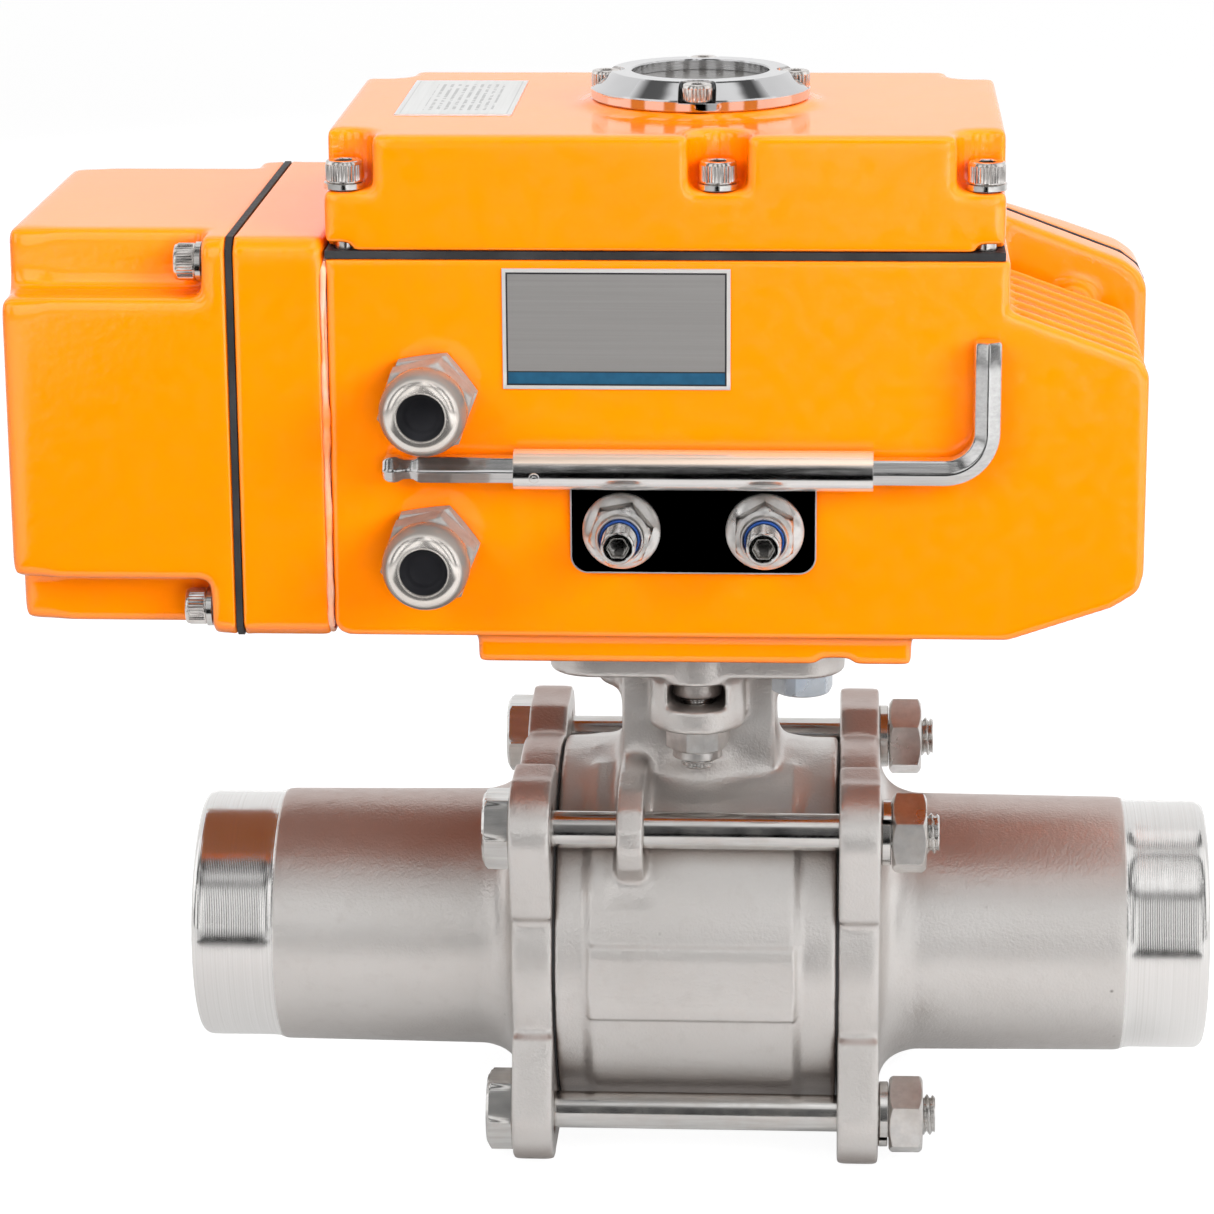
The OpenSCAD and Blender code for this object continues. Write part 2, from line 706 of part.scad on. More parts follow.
// Rectangle in (Y, Z), inset from the front and rear of the housing.
module sealant_outline(inset, z0, z1) {
  y = half_y - inset;
  polygon([[-y, z0], [-y, z1], [y, z1], [y, z0]]);
}
module adapter_sealant() {
  color("white") difference() {
    ext_x(adapter_x1, left_x) sealant_outline(0.9, 88, 173.4);
    ext_x(adapter_x1 - 1, left_x + 1) sealant_outline(3.5, 91, 170.5);
  }
}
module box_gasket() {
  color(BLACK) difference() {
    box_block(flange_x1, adapter_x0);
    difference() {
      box_block(flange_x1 - 1, adapter_x0 + 1, 5);
      at_box_screws() cyl_x(6, flange_x1 - 2, adapter_x0 + 2);
    }
    at_box_screws() cyl_x(2.6, flange_x1 - 1, adapter_x0 + 1);
  }
}
// Outline in (Y, Z) of the box cover with its recessed corners, shrunk by inset.
module cross_outline(inset) {
  y0 = front_y + inset;
  y1 = box_y1 - inset;
  z0 = box_z0 + inset;
  z1 = box_z1 - inset;
  ya = y0 + box_step;
  yb = y1 - box_step;
  za = z0 + 13.4;
  zb = z1 - 13.8;
  polygon([[ya, z0], [yb, z0], [yb, za], [y1, za], [y1, zb], [yb, zb], [yb, z1], [ya, z1],
    [ya, zb], [y0, zb], [y0, za], [ya, za]]);
}
module control_box_cover() {
  color(ORANGE) difference() {
    union() {
      box_block(flange_x0, flange_x1);
      ext_x(box_x, flange_x0 + 1) cross_outline(0);
    }
    ext_x(box_x + 3.2, flange_x1 + 1) cross_outline(3.4);
    at_box_screws() cyl_x(m5_hole_r, flange_x0 - 5, flange_x1 + 5);
  }
}

// ---------- motor compartment cover ----------
module rear_cover() {
  color(ORANGE) difference() {
    union() {
      difference() {
        intersection() {
          ext_y(rear_cover_y, rear_y1) rear_profile(housing_x1 + 0.3);
          // the top slopes down towards the back
          ext_x(0, 200)
            polygon([[0, 0], [0, 300], [36, 300], [36, 176], [46, 166], [rear_y1, 154], [rear_y1, 0]]);
        }
        ext_y(rear_cover_y - 1, rear_y1 - 3.2) intersection() {
          rear_profile(50, 4);
          square([200, 156]);
        }
      }
      at_rear_screws() cyl_y(5.5, rear_cover_y, rear_y1);
    }
    at_rear_screws() cyl_y(m5_hole_r, rear_cover_y - 1, rear_y1 + 5);
    cyl_x(4.8, rear_x1 - 6, rear_x1 + 1, worm_y, drive_z);
  }
}
module rear_gasket() {
  color(BLACK) difference() {
    ext_y(rear_gasket_y, rear_cover_y) rear_profile(housing_x1 + 0.3);
    difference() {
      ext_y(rear_gasket_y - 1, rear_cover_y + 1) rear_profile(50, 5);
      at_rear_screws() cyl_y(5.5, rear_gasket_y - 2, rear_cover_y + 2);
    }
    at_rear_screws() cyl_y(m5_hole_r, rear_gasket_y - 1, rear_cover_y + 1);
  }
}
module manual_drive_plug() {
  color(BLACK) union() {
    cyl_x(4.7, rear_x1 - 4, rear_x1 + 0.5, worm_y, drive_z);
    cyl_x(6.4, rear_x1, rear_x1 + 1.8, worm_y, drive_z);
  }
}

// ---------- plates and labels ----------
module nameplate() { color("silver") box([-43, front_y - 0.5, 144.5], [8.4, front_y, 172.1]); }
module top_label() {
  color("lightgrey") box([-69.7, -21, cover_z], [-42.7, 32, cover_z + 0.3]);
}

// ---------- cable glands ----------
gland_thread_r = 8;

module gland_bodies() {
  color(BRASS) at_glands() difference() {
    union() {
      on_front() rotate([0, 0, 8]) nut_blank(19.4, 5.2);
      cyl_y(gland_thread_r, front_y - 7, front_y + 8);
    }
    cyl_y(6.6, -70, -30);
  }
}
module gland_cap_nuts() {
  color(BRASS) at_glands() on_front() difference() {
    union() {
      translate([0, 0, 5.5]) rotate([0, 0, 22]) nut_blank(19.2, 8.5);
      turn_z([[0, 8], [9.9, 8], [9.9, 15.5], [9.5, 18], [8.6, 20.2], [7.2, 21.8], [6.4, 22.2],
        [0, 22.2]]);
    }
    cyl_z(20, -1, 5.6);
    cyl_z(gland_thread_r + 0.05, 5, 15);
    cyl_z(6.05, 14, 24);
  }
}
module gland_inserts() {
  color(BLACK) at_glands() on_front() turn_z([[gland_hole_r, 2], [6.5, 2], [6.5, 7.2],
    [7.9, 7.2], [7.9, 13.8], [6, 14], [6, 20.5], [gland_hole_r, 20.5]]);
}

// ---------- key and stops ----------
key_y = -54.7;
key_z = 126.9;
key_flats = 6;
key_arm_x = 66.1;
key_bend_r = 9.5;

module key_holder() {
  notch_z = 105.8;
  color("dimgray") difference() {
    union() {
      difference() {
        box([-28, front_y - 1.5, 101.8], [28, front_y, key_z]);
        // round off the lower corners
        both_x() difference() {
          box([24, -60, 100], [30, -40, notch_z]);
          cyl_y(4, -61, -39, 24, notch_z);
        }
      }
      cyl_x(4.6, -40.4, 40.7, key_y, key_z);
    }
    cyl_x(3.7, -50, 50, key_y, key_z);
    at_stops() cyl_y(4.3, -60, -40);
  }
}
// L-shaped key: ball end at the left, short arm pointing up at the right.
module hex_key() {
  ball_end = concat([for (i = [0 : 12]) let (angle = 180 - i * 11.58)
    [3.35 * sin(angle), 3.35 * cos(angle)]], [[2.2, 6.4], [0, 6.4]]);
  color(BRIGHT) translate([0, key_y, key_z]) union() {
    translate([-66.9, 0, 0]) turn_x(ball_end);
    hex_x(key_flats, -61, key_arm_x - key_bend_r, turn = 30);
    translate([key_arm_x - key_bend_r, 0, key_bend_r]) rotate([90, 0, 0]) rotate([0, 0, -90])
      rotate_extrude(angle = 90) translate([key_bend_r, 0]) rotate([0, 0, 30])
        circle(r = key_flats / 2 / cos(30), $fn = 6);
    hex_z(key_flats, key_bend_r, 157 - key_z, key_arm_x, 0, 30);
  }
}
module stop_screws() {
  color(BRIGHT) at_stops() difference() {
    union() {
      cyl_y(m8_r, -67.9, -9);
      cyl_y(2.5, -10, -7.3);
    }
    hex_y(4, -68.5, -64);
  }
}
module stop_lock_nuts() {
  color(BRIGHT) for (side = [-1, 1]) translate([side * stop_x, 0, drive_z]) difference() {
    union() {
      cyl_y(8.95, front_y - 3, front_y - 1.5);
      translate([0, front_y - 2.5, 0]) rotate([90, 0, 0]) rotate([0, 0, side * 10 + 20])
        nut_blank(m8_flats, 5.9, low_bevel = false);
      cyl_y(m8_collar_r, front_y - 10.6, front_y - 8);
    }
    cyl_y(m8_hole_r, -70, -40);
  }
}

// ---------- motor and spur gears ----------
// Outline of a module 1 spur gear; tooth points are [radius, fraction of a tooth pitch].
function gear_points(teeth) =
  let (tip = teeth / 2 + 0.95, mid = teeth / 2, root = teeth / 2 - 1.2)
  [for (i = [0 : teeth - 1],
      p = [[root, -0.30], [mid, -0.225], [tip, -0.11], [tip, 0.11], [mid, 0.225], [root, 0.30]])
    let (angle = 360 * (i + p[1]) / teeth) [p[0] * cos(angle), p[0] * sin(angle)]];
module spur(teeth, hole_r, turn) {
  ext_x(gear_x0, gear_x1) rotate(turn) difference() {
    polygon(gear_points(teeth));
    circle(r = hole_r / cos(15), $fn = 12);
  }
}
module drive_motor() {
  color("dimgray") difference() {
    union() {
      cyl_x(11.5, 43.6, 79, motor_y, motor_z);
      cyl_x(9.5, 78, 82, motor_y, motor_z);
      cyl_x(4.5, 40.6, 44, motor_y, motor_z);
    }
    cyl_x(2.05, 30, 50, motor_y, motor_z);
  }
}
module motor_pinion() {
  color(BRONZE) translate([0, motor_y, motor_z]) union() {
    spur(pinion_teeth, 2.2, motor_dir + 180 + 180 / pinion_teeth);
    cyl_x(2, 28.5, 49);
    difference() {
      cyl_x(4, 28.6, gear_x0);
      cyl_x(1.9, 20, 50);
    }
    cyl_x(2.5, gear_x0, gear_x1);
  }
}
module motor_bracket() {
  color("silver") difference() {
    box([40.6, 19, inner_z], [43.5, half_y - wall - 0.1, 141]);
    cyl_x(4.55, 30, 50, motor_y, motor_z);
    cyl_x(worm_shaft_r + 0.05, 30, 50, worm_y, drive_z);
  }
}

// ---------- worm ----------
worm_seat_r = 4;
worm_len = 28;

module worm_shaft() {
  color(BRIGHT) difference() {
    union() {
      cyl_x(worm_shaft_r, -29, 91.5, worm_y, drive_z);
      cyl_x(worm_seat_r, -20.5, 20.5, worm_y, drive_z);
    }
    hex_x(3, 88, 99, worm_y, drive_z);
  }
}
// Single-start thread: an off-centre circle twisted one turn per pitch.
module worm() {
  color(BRONZE) translate([0, worm_y, drive_z]) rotate([0, 90, 0]) difference() {
    translate([0, 0, -worm_len / 2]) rotate([0, 0, -worm_len / 2 / worm_pitch * 360])
      linear_extrude(height = worm_len, twist = -360 * (worm_len / worm_pitch), slices = 56,
          segments = 16)
        translate([0, 2.1]) circle(r = 8, $fn = 16);
    translate([0, 0, -20]) cylinder(r = (worm_seat_r + 0.05) / cos(15), h = 40, $fn = 12);
  }
}
module worm_gear() {
  color(BRONZE) translate([0, worm_y, drive_z])
    spur(worm_gear_teeth, worm_shaft_r + 0.05, motor_dir);
}
module worm_bearings() {
  race_w = bracket_w - 0.2;
  color(BRIGHT) for (x = bearing_x) translate([x + 0.1, worm_y, drive_z]) rotate([0, 90, 0]) {
    washer(8, 6.6, race_w);
    washer(4.4, worm_shaft_r + 0.05, race_w);
    for (angle = [0 : 45 : 315]) rotate([0, 0, angle]) translate([5.5, 0, race_w / 2])
      sphere(r = 1.02, $fn = 24);
  }
}

// ---------- output shaft ----------
// [radius, z0, z1] of each shaft step
shaft_steps = [[15, base_z + 0.6, 102], [16.5, 102, 107.9], [10.9, 107, 141.6], [8, 141, 167],
  [5, 166, 196]];

module output_shaft() {
  color([0.55, 0.55, 0.58]) difference() {
    union() for (step = shaft_steps) cyl_z(step[0], step[1], step[2]);
    // square socket for the valve stem
    box([-5.6, -5.6, 70], [5.6, 5.6, 97]);
  }
}

wheel_root_r = 25.6;
wheel_tip_r = 29.4;
tooth_angles = [for (k = [-9 : 1]) 90 + k * 360 / wheel_teeth];
// [radius, offset along the arc] of one wheel tooth
tooth_outline = [[wheel_root_r, -1.55], [28, -1.0], [wheel_tip_r, -0.35], [wheel_tip_r, 0.35],
  [28, 1.0], [wheel_root_r, 1.55]];
function root_point(angle) = [wheel_root_r * cos(angle), wheel_root_r * sin(angle)];

module sector_wheel() {
  height = 8;
  half_twist = height / 2 * tan(tooth_lean) / wheel_r * 180 / PI;
  teeth = [for (tooth = tooth_angles, p = tooth_outline)
    let (angle = tooth + p[1] / p[0] * 180 / PI) [p[0] * cos(angle), p[0] * sin(angle)]];
  color(BRONZE) translate([0, 0, drive_z - height / 2])
    linear_extrude(height = height, twist = -2 * half_twist, slices = 2, segments = 1)
      rotate(-half_twist) difference() {
        union() {
          polygon(concat([[0, 0], root_point(-20)], teeth, [root_point(110)]));
          polygon([for (i = [0 : 23]) 14.4 * [cos(15 * i), sin(15 * i)]]);
        }
        circle(r = 11 / cos(15), $fn = 12);
      }
}
module output_bushes() {
  color(BRONZE) {
    turn_z([[15.05, base_z + 1.4], [bush_r, base_z + 1.4], [bush_r, inner_z + 0.05],
      [21, inner_z + 0.05], [21, inner_z + 2], [15.05, inner_z + 2]]);
    turn_z([[8.05, 142.2], [10.95, 142.2], [10.95, 149], [8.05, 149]]);
  }
}

// ---------- cams, switches and electronics ----------
plate_z0 = 143;
plate_z1 = 147;

// Disc with one raised lobe, turned to the given angle.
module cam(z, turn) {
  rotate([0, 0, turn]) difference() {
    union() {
      cyl_z(14, z, z + 4);
      intersection() {
        cyl_z(16.5, z, z + 4);
        box([0, -6, z], [20, 6, z + 4]);
      }
    }
    cyl_z(8.03, z - 1, z + 5);
  }
}
module cams() {
  color("white") {
    cam(151, 100);
    cam(159, 350);
  }
}
module limit_switches() {
  // body, lever and roller of each switch
  color([0.1, 0.1, 0.12]) for (z = [150, 158]) {
    box([-46, -7, z], [-27, 7, z + 6.6]);
    box([-27.5, -6, z + 2.6], [-26.6, 3, z + 3.9]);
    box([-27.3, 2, z + 2.6], [-21, 3, z + 3.9]);
    cyl_z(2.3, z + 1, z + 5.5, -20.4, 2.5);
  }
  color("silver") box([-44, -6.5, plate_z1 + 0.05], [-29, 6.5, 150.5]);
}
// Plate on four pillars, cut away behind the cable glands.
module mounting_plate() {
  color("silver") difference() {
    union() {
      box([-72, -40, plate_z0], [60, 44, plate_z1]);
      for (p = [[-62, -36], [-62, 36], [52, -36], [52, 6]])
        cyl_z(4, inner_z, plate_z0 + 1, p[0], p[1]);
    }
    cyl_z(11, 140, 150);
    box([-90, -50, 130], [-51, -33.5, 160]);
  }
}
// Board standing in the control box, with parts on its left face.
module control_board() {
  part_x = -124.3;
  color([0.05, 0.35, 0.15]) box([-124.2, -34, 98], [-122.6, 42, 166]);
  color("black") {
    box([-140, -20, 108], [part_x, 8, 140]);
    for (y = [14, 24, 34]) box([-136, y - 4, 112], [part_x, y + 4, 132]);
  }
  color("green") box([-133, -30, 148], [part_x, 38, 158]);
  // four stand-offs on the right face
  color("silver") for (y = [-30, 38], z = [102, 162]) cyl_x(2.2, -122.5, -112, y, z);
}

valve_body();
end_cap_left();
end_cap_right();
seat_left();
seat_right();
body_seals();
ball();
valve_stem();
stem_packing();
packing_gland();
stem_nut();
tie_bolts();
tie_nuts();
tie_spring_washers();
pad_studs();
pad_stud_nuts();
pad_stud_collars();
pad_bolts();
housing();
top_cover();
cover_gasket();
casing_screws();
casing_screw_washers();
sight_ring();
sight_glass();
sight_oring();
sight_ring_screws();
position_indicator();
box_adapter();
adapter_sealant();
box_gasket();
control_box_cover();
rear_cover();
rear_gasket();
manual_drive_plug();
nameplate();
top_label();
gland_bodies();
gland_cap_nuts();
gland_inserts();
key_holder();
hex_key();
stop_screws();
stop_lock_nuts();
drive_motor();
motor_pinion();
motor_bracket();
worm_shaft();
worm();
worm_gear();
worm_bearings();
output_shaft();
sector_wheel();
output_bushes();
cams();
limit_switches();
mounting_plate();
control_board();
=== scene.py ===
"""Motorised ball valve: a cast stainless valve body on tie bolts under an orange actuator casing.

The pipe runs along X, the front faces -Y and the casing stands above the valve on +Z.
CAD nodes, materials, weights on planes and the studio are in metres; modelled parts and the
limits inside the casting weights are in millimetres.
"""
import json
import math
import random
import bpy
import bmesh
import numpy as np
from mathutils import Vector, Matrix, noise as mnoise

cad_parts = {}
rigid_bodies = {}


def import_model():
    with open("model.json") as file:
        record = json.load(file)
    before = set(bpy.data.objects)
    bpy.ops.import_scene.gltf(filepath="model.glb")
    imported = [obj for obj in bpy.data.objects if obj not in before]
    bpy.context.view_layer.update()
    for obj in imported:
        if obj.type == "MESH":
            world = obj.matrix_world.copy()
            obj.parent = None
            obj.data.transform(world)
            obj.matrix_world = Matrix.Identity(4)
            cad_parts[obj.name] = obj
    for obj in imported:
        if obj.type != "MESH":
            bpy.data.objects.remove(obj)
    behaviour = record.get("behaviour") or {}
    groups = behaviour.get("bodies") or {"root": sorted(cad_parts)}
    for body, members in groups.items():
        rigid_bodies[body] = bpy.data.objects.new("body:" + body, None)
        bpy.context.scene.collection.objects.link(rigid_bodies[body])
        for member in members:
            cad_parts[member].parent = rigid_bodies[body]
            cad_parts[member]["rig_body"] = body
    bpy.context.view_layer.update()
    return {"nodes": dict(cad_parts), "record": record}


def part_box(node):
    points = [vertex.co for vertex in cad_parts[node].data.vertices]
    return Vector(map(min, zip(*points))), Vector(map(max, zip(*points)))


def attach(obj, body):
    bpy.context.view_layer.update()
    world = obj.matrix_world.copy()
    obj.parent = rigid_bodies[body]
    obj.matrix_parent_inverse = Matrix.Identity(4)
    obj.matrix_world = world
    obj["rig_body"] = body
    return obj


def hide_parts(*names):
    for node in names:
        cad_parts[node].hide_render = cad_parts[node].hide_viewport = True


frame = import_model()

NODES = frame["nodes"]
SLOT = {part["node"]: part["material_slot"] for part in frame["record"]["subparts"]}
ROOT = "valve_and_casing"
COLLECTION = bpy.context.scene.collection
MM = 0.001
draw = random.Random(7)

# driving places, mm
TIE_Y, TIE_Z = 38, 35.5                 # tie bolts round the pipe axis
TIE_PLACES = [(y, z) for y in (-TIE_Y, TIE_Y) for z in (-TIE_Z, TIE_Z)]
BODY_R = 44.83                          # barrel of the valve body
EAR_X = -15.3                           # ear on the front of the barrel
STUD_Y = 25                             # pad studs either side of the stem
STOP_X, STOP_Z = 16.3, 112              # stop screws on the casing front
KEY_Y, KEY_Z = -54.7, 126.9             # long arm of the hexagon key, in its holder tube


# ------------------------------------------------------------------ shader graphs
class Field:
    """A node output; arithmetic on it adds math nodes to its graph."""

    def __init__(self, graph, socket):
        self.graph = graph
        self.socket = socket

    def __add__(self, other):
        return self.graph.math("ADD", self, other)

    def __sub__(self, other):
        return self.graph.math("SUBTRACT", self, other)

    def __rsub__(self, other):
        return self.graph.math("SUBTRACT", other, self)

    def __mul__(self, other):
        return self.graph.math("MULTIPLY", self, other)

    def __truediv__(self, other):
        return self.graph.math("DIVIDE", self, other)

    def __gt__(self, other):
        return self.graph.math("GREATER_THAN", self, other)

    def __lt__(self, other):
        return self.graph.math("LESS_THAN", self, other)

    def __abs__(self):
        return self.graph.math("ABSOLUTE", self)

    def fade(self, over=(0.3, 0.7), to=(0.0, 1.0), smooth=False):
        """Map the range `over` to `to`; the default takes the middle of a noise."""
        inputs = {"Value": self, "From Min": over[0], "From Max": over[1],
                  "To Min": to[0], "To Max": to[1]}
        return self.graph.build("ShaderNodeMapRange", inputs,
                                interpolation_type="SMOOTHSTEP" if smooth else "LINEAR")


class Graph:
    def __init__(self, tree):
        self.tree = tree
        tree.nodes.clear()

    def node(self, kind, inputs=None, **props):
        made = self.tree.nodes.new(kind)
        for name, value in props.items():
            setattr(made, name, value)
        for name, value in (inputs or {}).items():
            self.feed(made.inputs[name], value)
        return made

    def build(self, kind, inputs=None, output=0, **props):
        return Field(self, self.node(kind, inputs, **props).outputs[output])

    def feed(self, socket, value):
        """Link a field, or set a constant; None leaves the socket alone."""
        if isinstance(value, Field):
            self.tree.links.new(value.socket, socket)
        elif value is not None:
            if socket.type == "RGBA" and len(value) == 3:
                value = (*value, 1.0)
            socket.default_value = value

    def math(self, operation, *values, clamp=False):
        inputs = dict(enumerate(values))
        return self.build("ShaderNodeMath", inputs, operation=operation, use_clamp=clamp)

    def mix(self, factor, a, b, data_type="RGBA", **props):
        made = self.node("ShaderNodeMix", {0: factor}, data_type=data_type, **props)
        kind = "RGBA" if data_type == "RGBA" else "VALUE"
        ends = [s for s in made.inputs if s.type == kind and s.name in ("A", "B")]
        self.feed(ends[0], a)
        self.feed(ends[1], b)
        return Field(self, next(s for s in made.outputs if s.type == kind))

    def mix_value(self, factor, a, b):
        return self.mix(factor, a, b, data_type="FLOAT")

    def tint(self, colour, mask, amount, to):
        return self.mix(mask * amount, colour, to)

    def separate(self, vector):
        made = self.node("ShaderNodeSeparateXYZ", {0: vector})
        return [Field(self, socket) for socket in made.outputs]

    def rays(self):
        """Light path fields: camera ray, glossy ray."""
        outputs = self.node("ShaderNodeLightPath").outputs
        return Field(self, outputs["Is Camera Ray"]), Field(self, outputs["Is Glossy Ray"])

    def ramp(self, field, stops):
        """Grey colour ramp; stops are (position, brightness)."""
        made = self.node("ShaderNodeValToRGB", {0: field})
        elements = made.color_ramp.elements
        for element, (position, grey) in zip(list(elements), (stops[0], stops[-1])):
            element.position = position
            element.color = (grey, grey, grey, 1)
        for position, grey in stops[1:-1]:
            elements.new(position).color = (grey, grey, grey, 1)
        return Field(self, made.outputs[0])


class Mat(Graph):
    """A Principled material with textures in object coordinates."""

    def __init__(self, name, base=(0.5, 0.5, 0.5), metallic=0.0, rough=0.4):
        self.material = bpy.data.materials.new(name)
        self.material.use_nodes = True
        super().__init__(self.material.node_tree)
        output = self.node("ShaderNodeOutputMaterial")
        self.principled = self.node("ShaderNodeBsdfPrincipled")
        self.tree.links.new(self.principled.outputs[0], output.inputs["Surface"])
        self.set(Base_Color=base, Metallic=metallic, Roughness=rough)
        self.coords = self.build("ShaderNodeTexCoord", output="Object")

    def set(self, **inputs):
        """Feed Principled sockets; an underscore stands for a space."""
        for name, value in inputs.items():
            self.feed(self.principled.inputs[name.replace("_", " ")], value)

    def position(self):
        return self.separate(self.coords)

    def noise(self, scale, detail=2.0, rough=0.5, vector=None):
        inputs = {"Vector": vector or self.coords, "Scale": scale,
                  "Detail": detail, "Roughness": rough}
        return self.build("ShaderNodeTexNoise", inputs, "Fac")

    def streaks(self, scales, detail=3, rough=0.6):
        """Noise with its own scale along X, Y and Z."""
        mapped = self.build("ShaderNodeMapping", {"Vector": self.coords, "Scale": scales})
        return self.noise(1.0, detail, rough, mapped)

    def voronoi(self, scale):
        inputs = {"Vector": self.coords, "Scale": scale}
        return self.build("ShaderNodeTexVoronoi", inputs, "Distance")

    def geometry(self, output):
        return self.build("ShaderNodeNewGeometry", output=output)

    def facing(self):
        """Components of the surface normal."""
        return self.separate(self.geometry("Normal"))

    def occlusion(self, reach):
        return self.build("ShaderNodeAmbientOcclusion", {"Distance": reach}, "AO", samples=4)

    def bevel(self, radius, samples=3):
        return self.build("ShaderNodeBevel", {"Radius": radius}, samples=samples)

    def bump(self, height, strength, distance, bevel=None):
        """Bump normal, over softened edges where a bevel radius is given."""
        inputs = {"Strength": strength, "Distance": distance, "Height": height,
                  "Normal": bevel and self.bevel(bevel)}
        return self.build("ShaderNodeBump", inputs)

    def inset(self, u, u_span, v, v_span):
        """Distance inward from the edges of a rectangle."""
        across = self.math("MINIMUM", u - u_span[0], u_span[1] - u)
        along = self.math("MINIMUM", v - v_span[0], v_span[1] - v)
        return self.math("MINIMUM", across, along)


# ------------------------------------------------------------------ materials
def orange_powder_coat():
    m = Mat("orange_powder", rough=0.34)
    blotch = m.noise(scale=14, detail=3, rough=0.6)
    speck = m.noise(scale=900, rough=0.6)
    # painted highlight, partly a thinner coat: edges are lightened towards pale orange
    edge = m.geometry("Pointiness").fade(over=(0.515, 0.60), smooth=True)
    colour = m.mix(blotch.fade(), a=(0.95, 0.208, 0.0), b=(0.95, 0.224, 0.0))
    colour = m.tint(colour, speck.fade(over=(0.66, 0.8)), amount=0.18, to=(0.80, 0.15, 0.0))
    colour = m.tint(colour, edge, amount=0.35, to=(0.98, 0.30, 0.035))
    # painted shade: the colour darkens and reddens in crevices
    crevice_shade = m.occlusion(reach=0.010).fade(over=(0.75, 0.15), smooth=True)
    colour = m.tint(colour, crevice_shade, amount=0.75, to=(0.86, 0.105, 0.0))
    m.set(Base_Color=colour,
          Roughness=m.noise(scale=55, detail=3).fade(to=(0.27, 0.38)),
          Coat_Weight=1.0, Coat_IOR=1.75,
          Coat_Roughness=m.noise(scale=220).fade(to=(0.07, 0.15)),
          Specular_IOR_Level=0.0)
    peel = m.noise(scale=480, detail=1.5, rough=0.45)
    swell = m.noise(scale=60)
    height = peel * 0.35 + swell * 0.30
    m.set(Normal=m.bump(height, strength=0.22, distance=0.0006),
          Coat_Normal=m.bump(height, strength=0.16, distance=0.0006))
    return m.material


def cast_stainless():
    """Pitted cast skin, turned bright beyond |x| = 102 mm and faced at the ends."""
    side_groove, face_groove = 0.00042, 0.00040      # pitch of the turning marks
    m = Mat("cast_stainless_skin", metallic=0.86)
    x, y, z = m.position()
    along = abs(x)
    radius = m.math("SQRT", y * y + z * z)
    blotch = m.noise(scale=22, detail=4, rough=0.6)
    fine = m.noise(scale=1500, rough=0.55)
    grain = m.noise(scale=260, detail=3, rough=0.6)
    cells = m.voronoi(scale=170).fade(over=(0.0, 0.10), to=(1.0, 0.0))
    pits = cells * m.noise(scale=95, detail=1).fade(over=(0.62, 0.7))

    skin = m.mix(blotch.fade(over=(0.3, 0.72)), a=(0.655, 0.625, 0.60), b=(0.705, 0.68, 0.66))
    skin = m.tint(skin, grain.fade(over=(0.55, 0.75)), amount=0.12, to=(0.46, 0.41, 0.38))
    skin = m.tint(skin, pits, amount=0.8, to=(0.12, 0.10, 0.09))
    # painted highlight: edges are lightened
    edge = m.geometry("Pointiness").fade(over=(0.52, 0.62), smooth=True)
    skin = m.tint(skin, edge, amount=0.5, to=(0.90, 0.88, 0.86))
    # painted shade: the colour darkens to brown in crevices
    crevice_shade = m.occlusion(reach=0.012).fade(over=(0.80, 0.20), smooth=True)
    skin = m.tint(skin, crevice_shade, amount=0.70, to=(0.25, 0.19, 0.16))
    # faces turned up outside the middle carry a painted reflection of the casing's shaded
    # underside; faces turned down carry painted shade
    up = m.facing()[2]
    upper = (up.fade(over=(0.40, 0.85), smooth=True)
             * along.fade(over=(0.031, 0.034), smooth=True))
    skin = m.tint(skin, upper, amount=0.50, to=(0.36, 0.19, 0.145))
    # painted shade: faces turned down are darkened
    lower = up.fade(over=(-0.30, -0.90), smooth=True)
    skin = m.tint(skin, lower, amount=0.42, to=(0.34, 0.30, 0.28))
    skin_rough = grain.fade(to=(0.28, 0.37))
    skin_height = fine * 0.6 + grain * 0.7 - pits * 1.2

    turned = along.fade(over=(0.1021, 0.1027))
    groove = m.math("SINE", along * (2 * math.pi / side_groove))
    ring = m.streaks(scales=(2600, 2, 2))
    face_rings = m.math("SINE", radius * (2 * math.pi / face_groove))
    end_face = along.fade(over=(0.1216, 0.1219))
    turned_height = m.mix_value(end_face, groove * 0.5 + ring, face_rings)
    turned_colour = m.mix(ring.fade(), a=(0.80, 0.78, 0.76), b=(0.92, 0.91, 0.90))
    turned_rough = m.noise(scale=300).fade(to=(0.15, 0.20))
    height = m.mix_value(turned, skin_height, turned_height * 0.035)
    m.set(Metallic=m.mix_value(turned, a=0.86, b=1.0),
          Base_Color=m.mix(turned, skin, turned_colour),
          Roughness=m.mix_value(turned, skin_rough, turned_rough),
          Normal=m.bump(height, strength=0.42, distance=0.00045))
    return m.material


def bright(name, base, rough, brush, tint=None, tint_amount=0.25, bevel=0.00025,
           bump=0.12, metallic=1.0, specular=None):
    """Worked metal; `brush` holds the streak scales along X, Y and Z."""
    m = Mat(name, metallic=metallic)
    streak = m.streaks(brush)
    blotch = m.noise(scale=120, detail=3, rough=0.6)
    colour = m.mix(streak.fade(over=(0.25, 0.75)), tuple(c * 0.78 for c in base), base)
    if tint:
        colour = m.tint(colour, blotch.fade(over=(0.45, 0.7)), tint_amount, to=tint)
    m.set(Base_Color=colour, Roughness=blotch.fade(to=(rough * 0.8, rough * 1.35)),
          Normal=m.bump(streak, bump, distance=0.00015, bevel=bevel),
          Specular_IOR_Level=specular)
    return m.material


def rubber(name, base, rough, specular=None):
    m = Mat(name, rough=rough)
    grain = m.noise(scale=700, detail=3, rough=0.6)
    worn = tuple(c * 2.2 + 0.004 for c in base)
    patches = m.noise(scale=60, detail=3).fade(over=(0.35, 0.7))
    m.set(Base_Color=m.mix(patches, base, worn),
          Roughness=grain.fade(to=(rough - 0.1, rough + 0.12)),
          Normal=m.bump(grain, strength=0.25, distance=0.0003, bevel=0.0003),
          Specular_IOR_Level=specular)
    return m.material


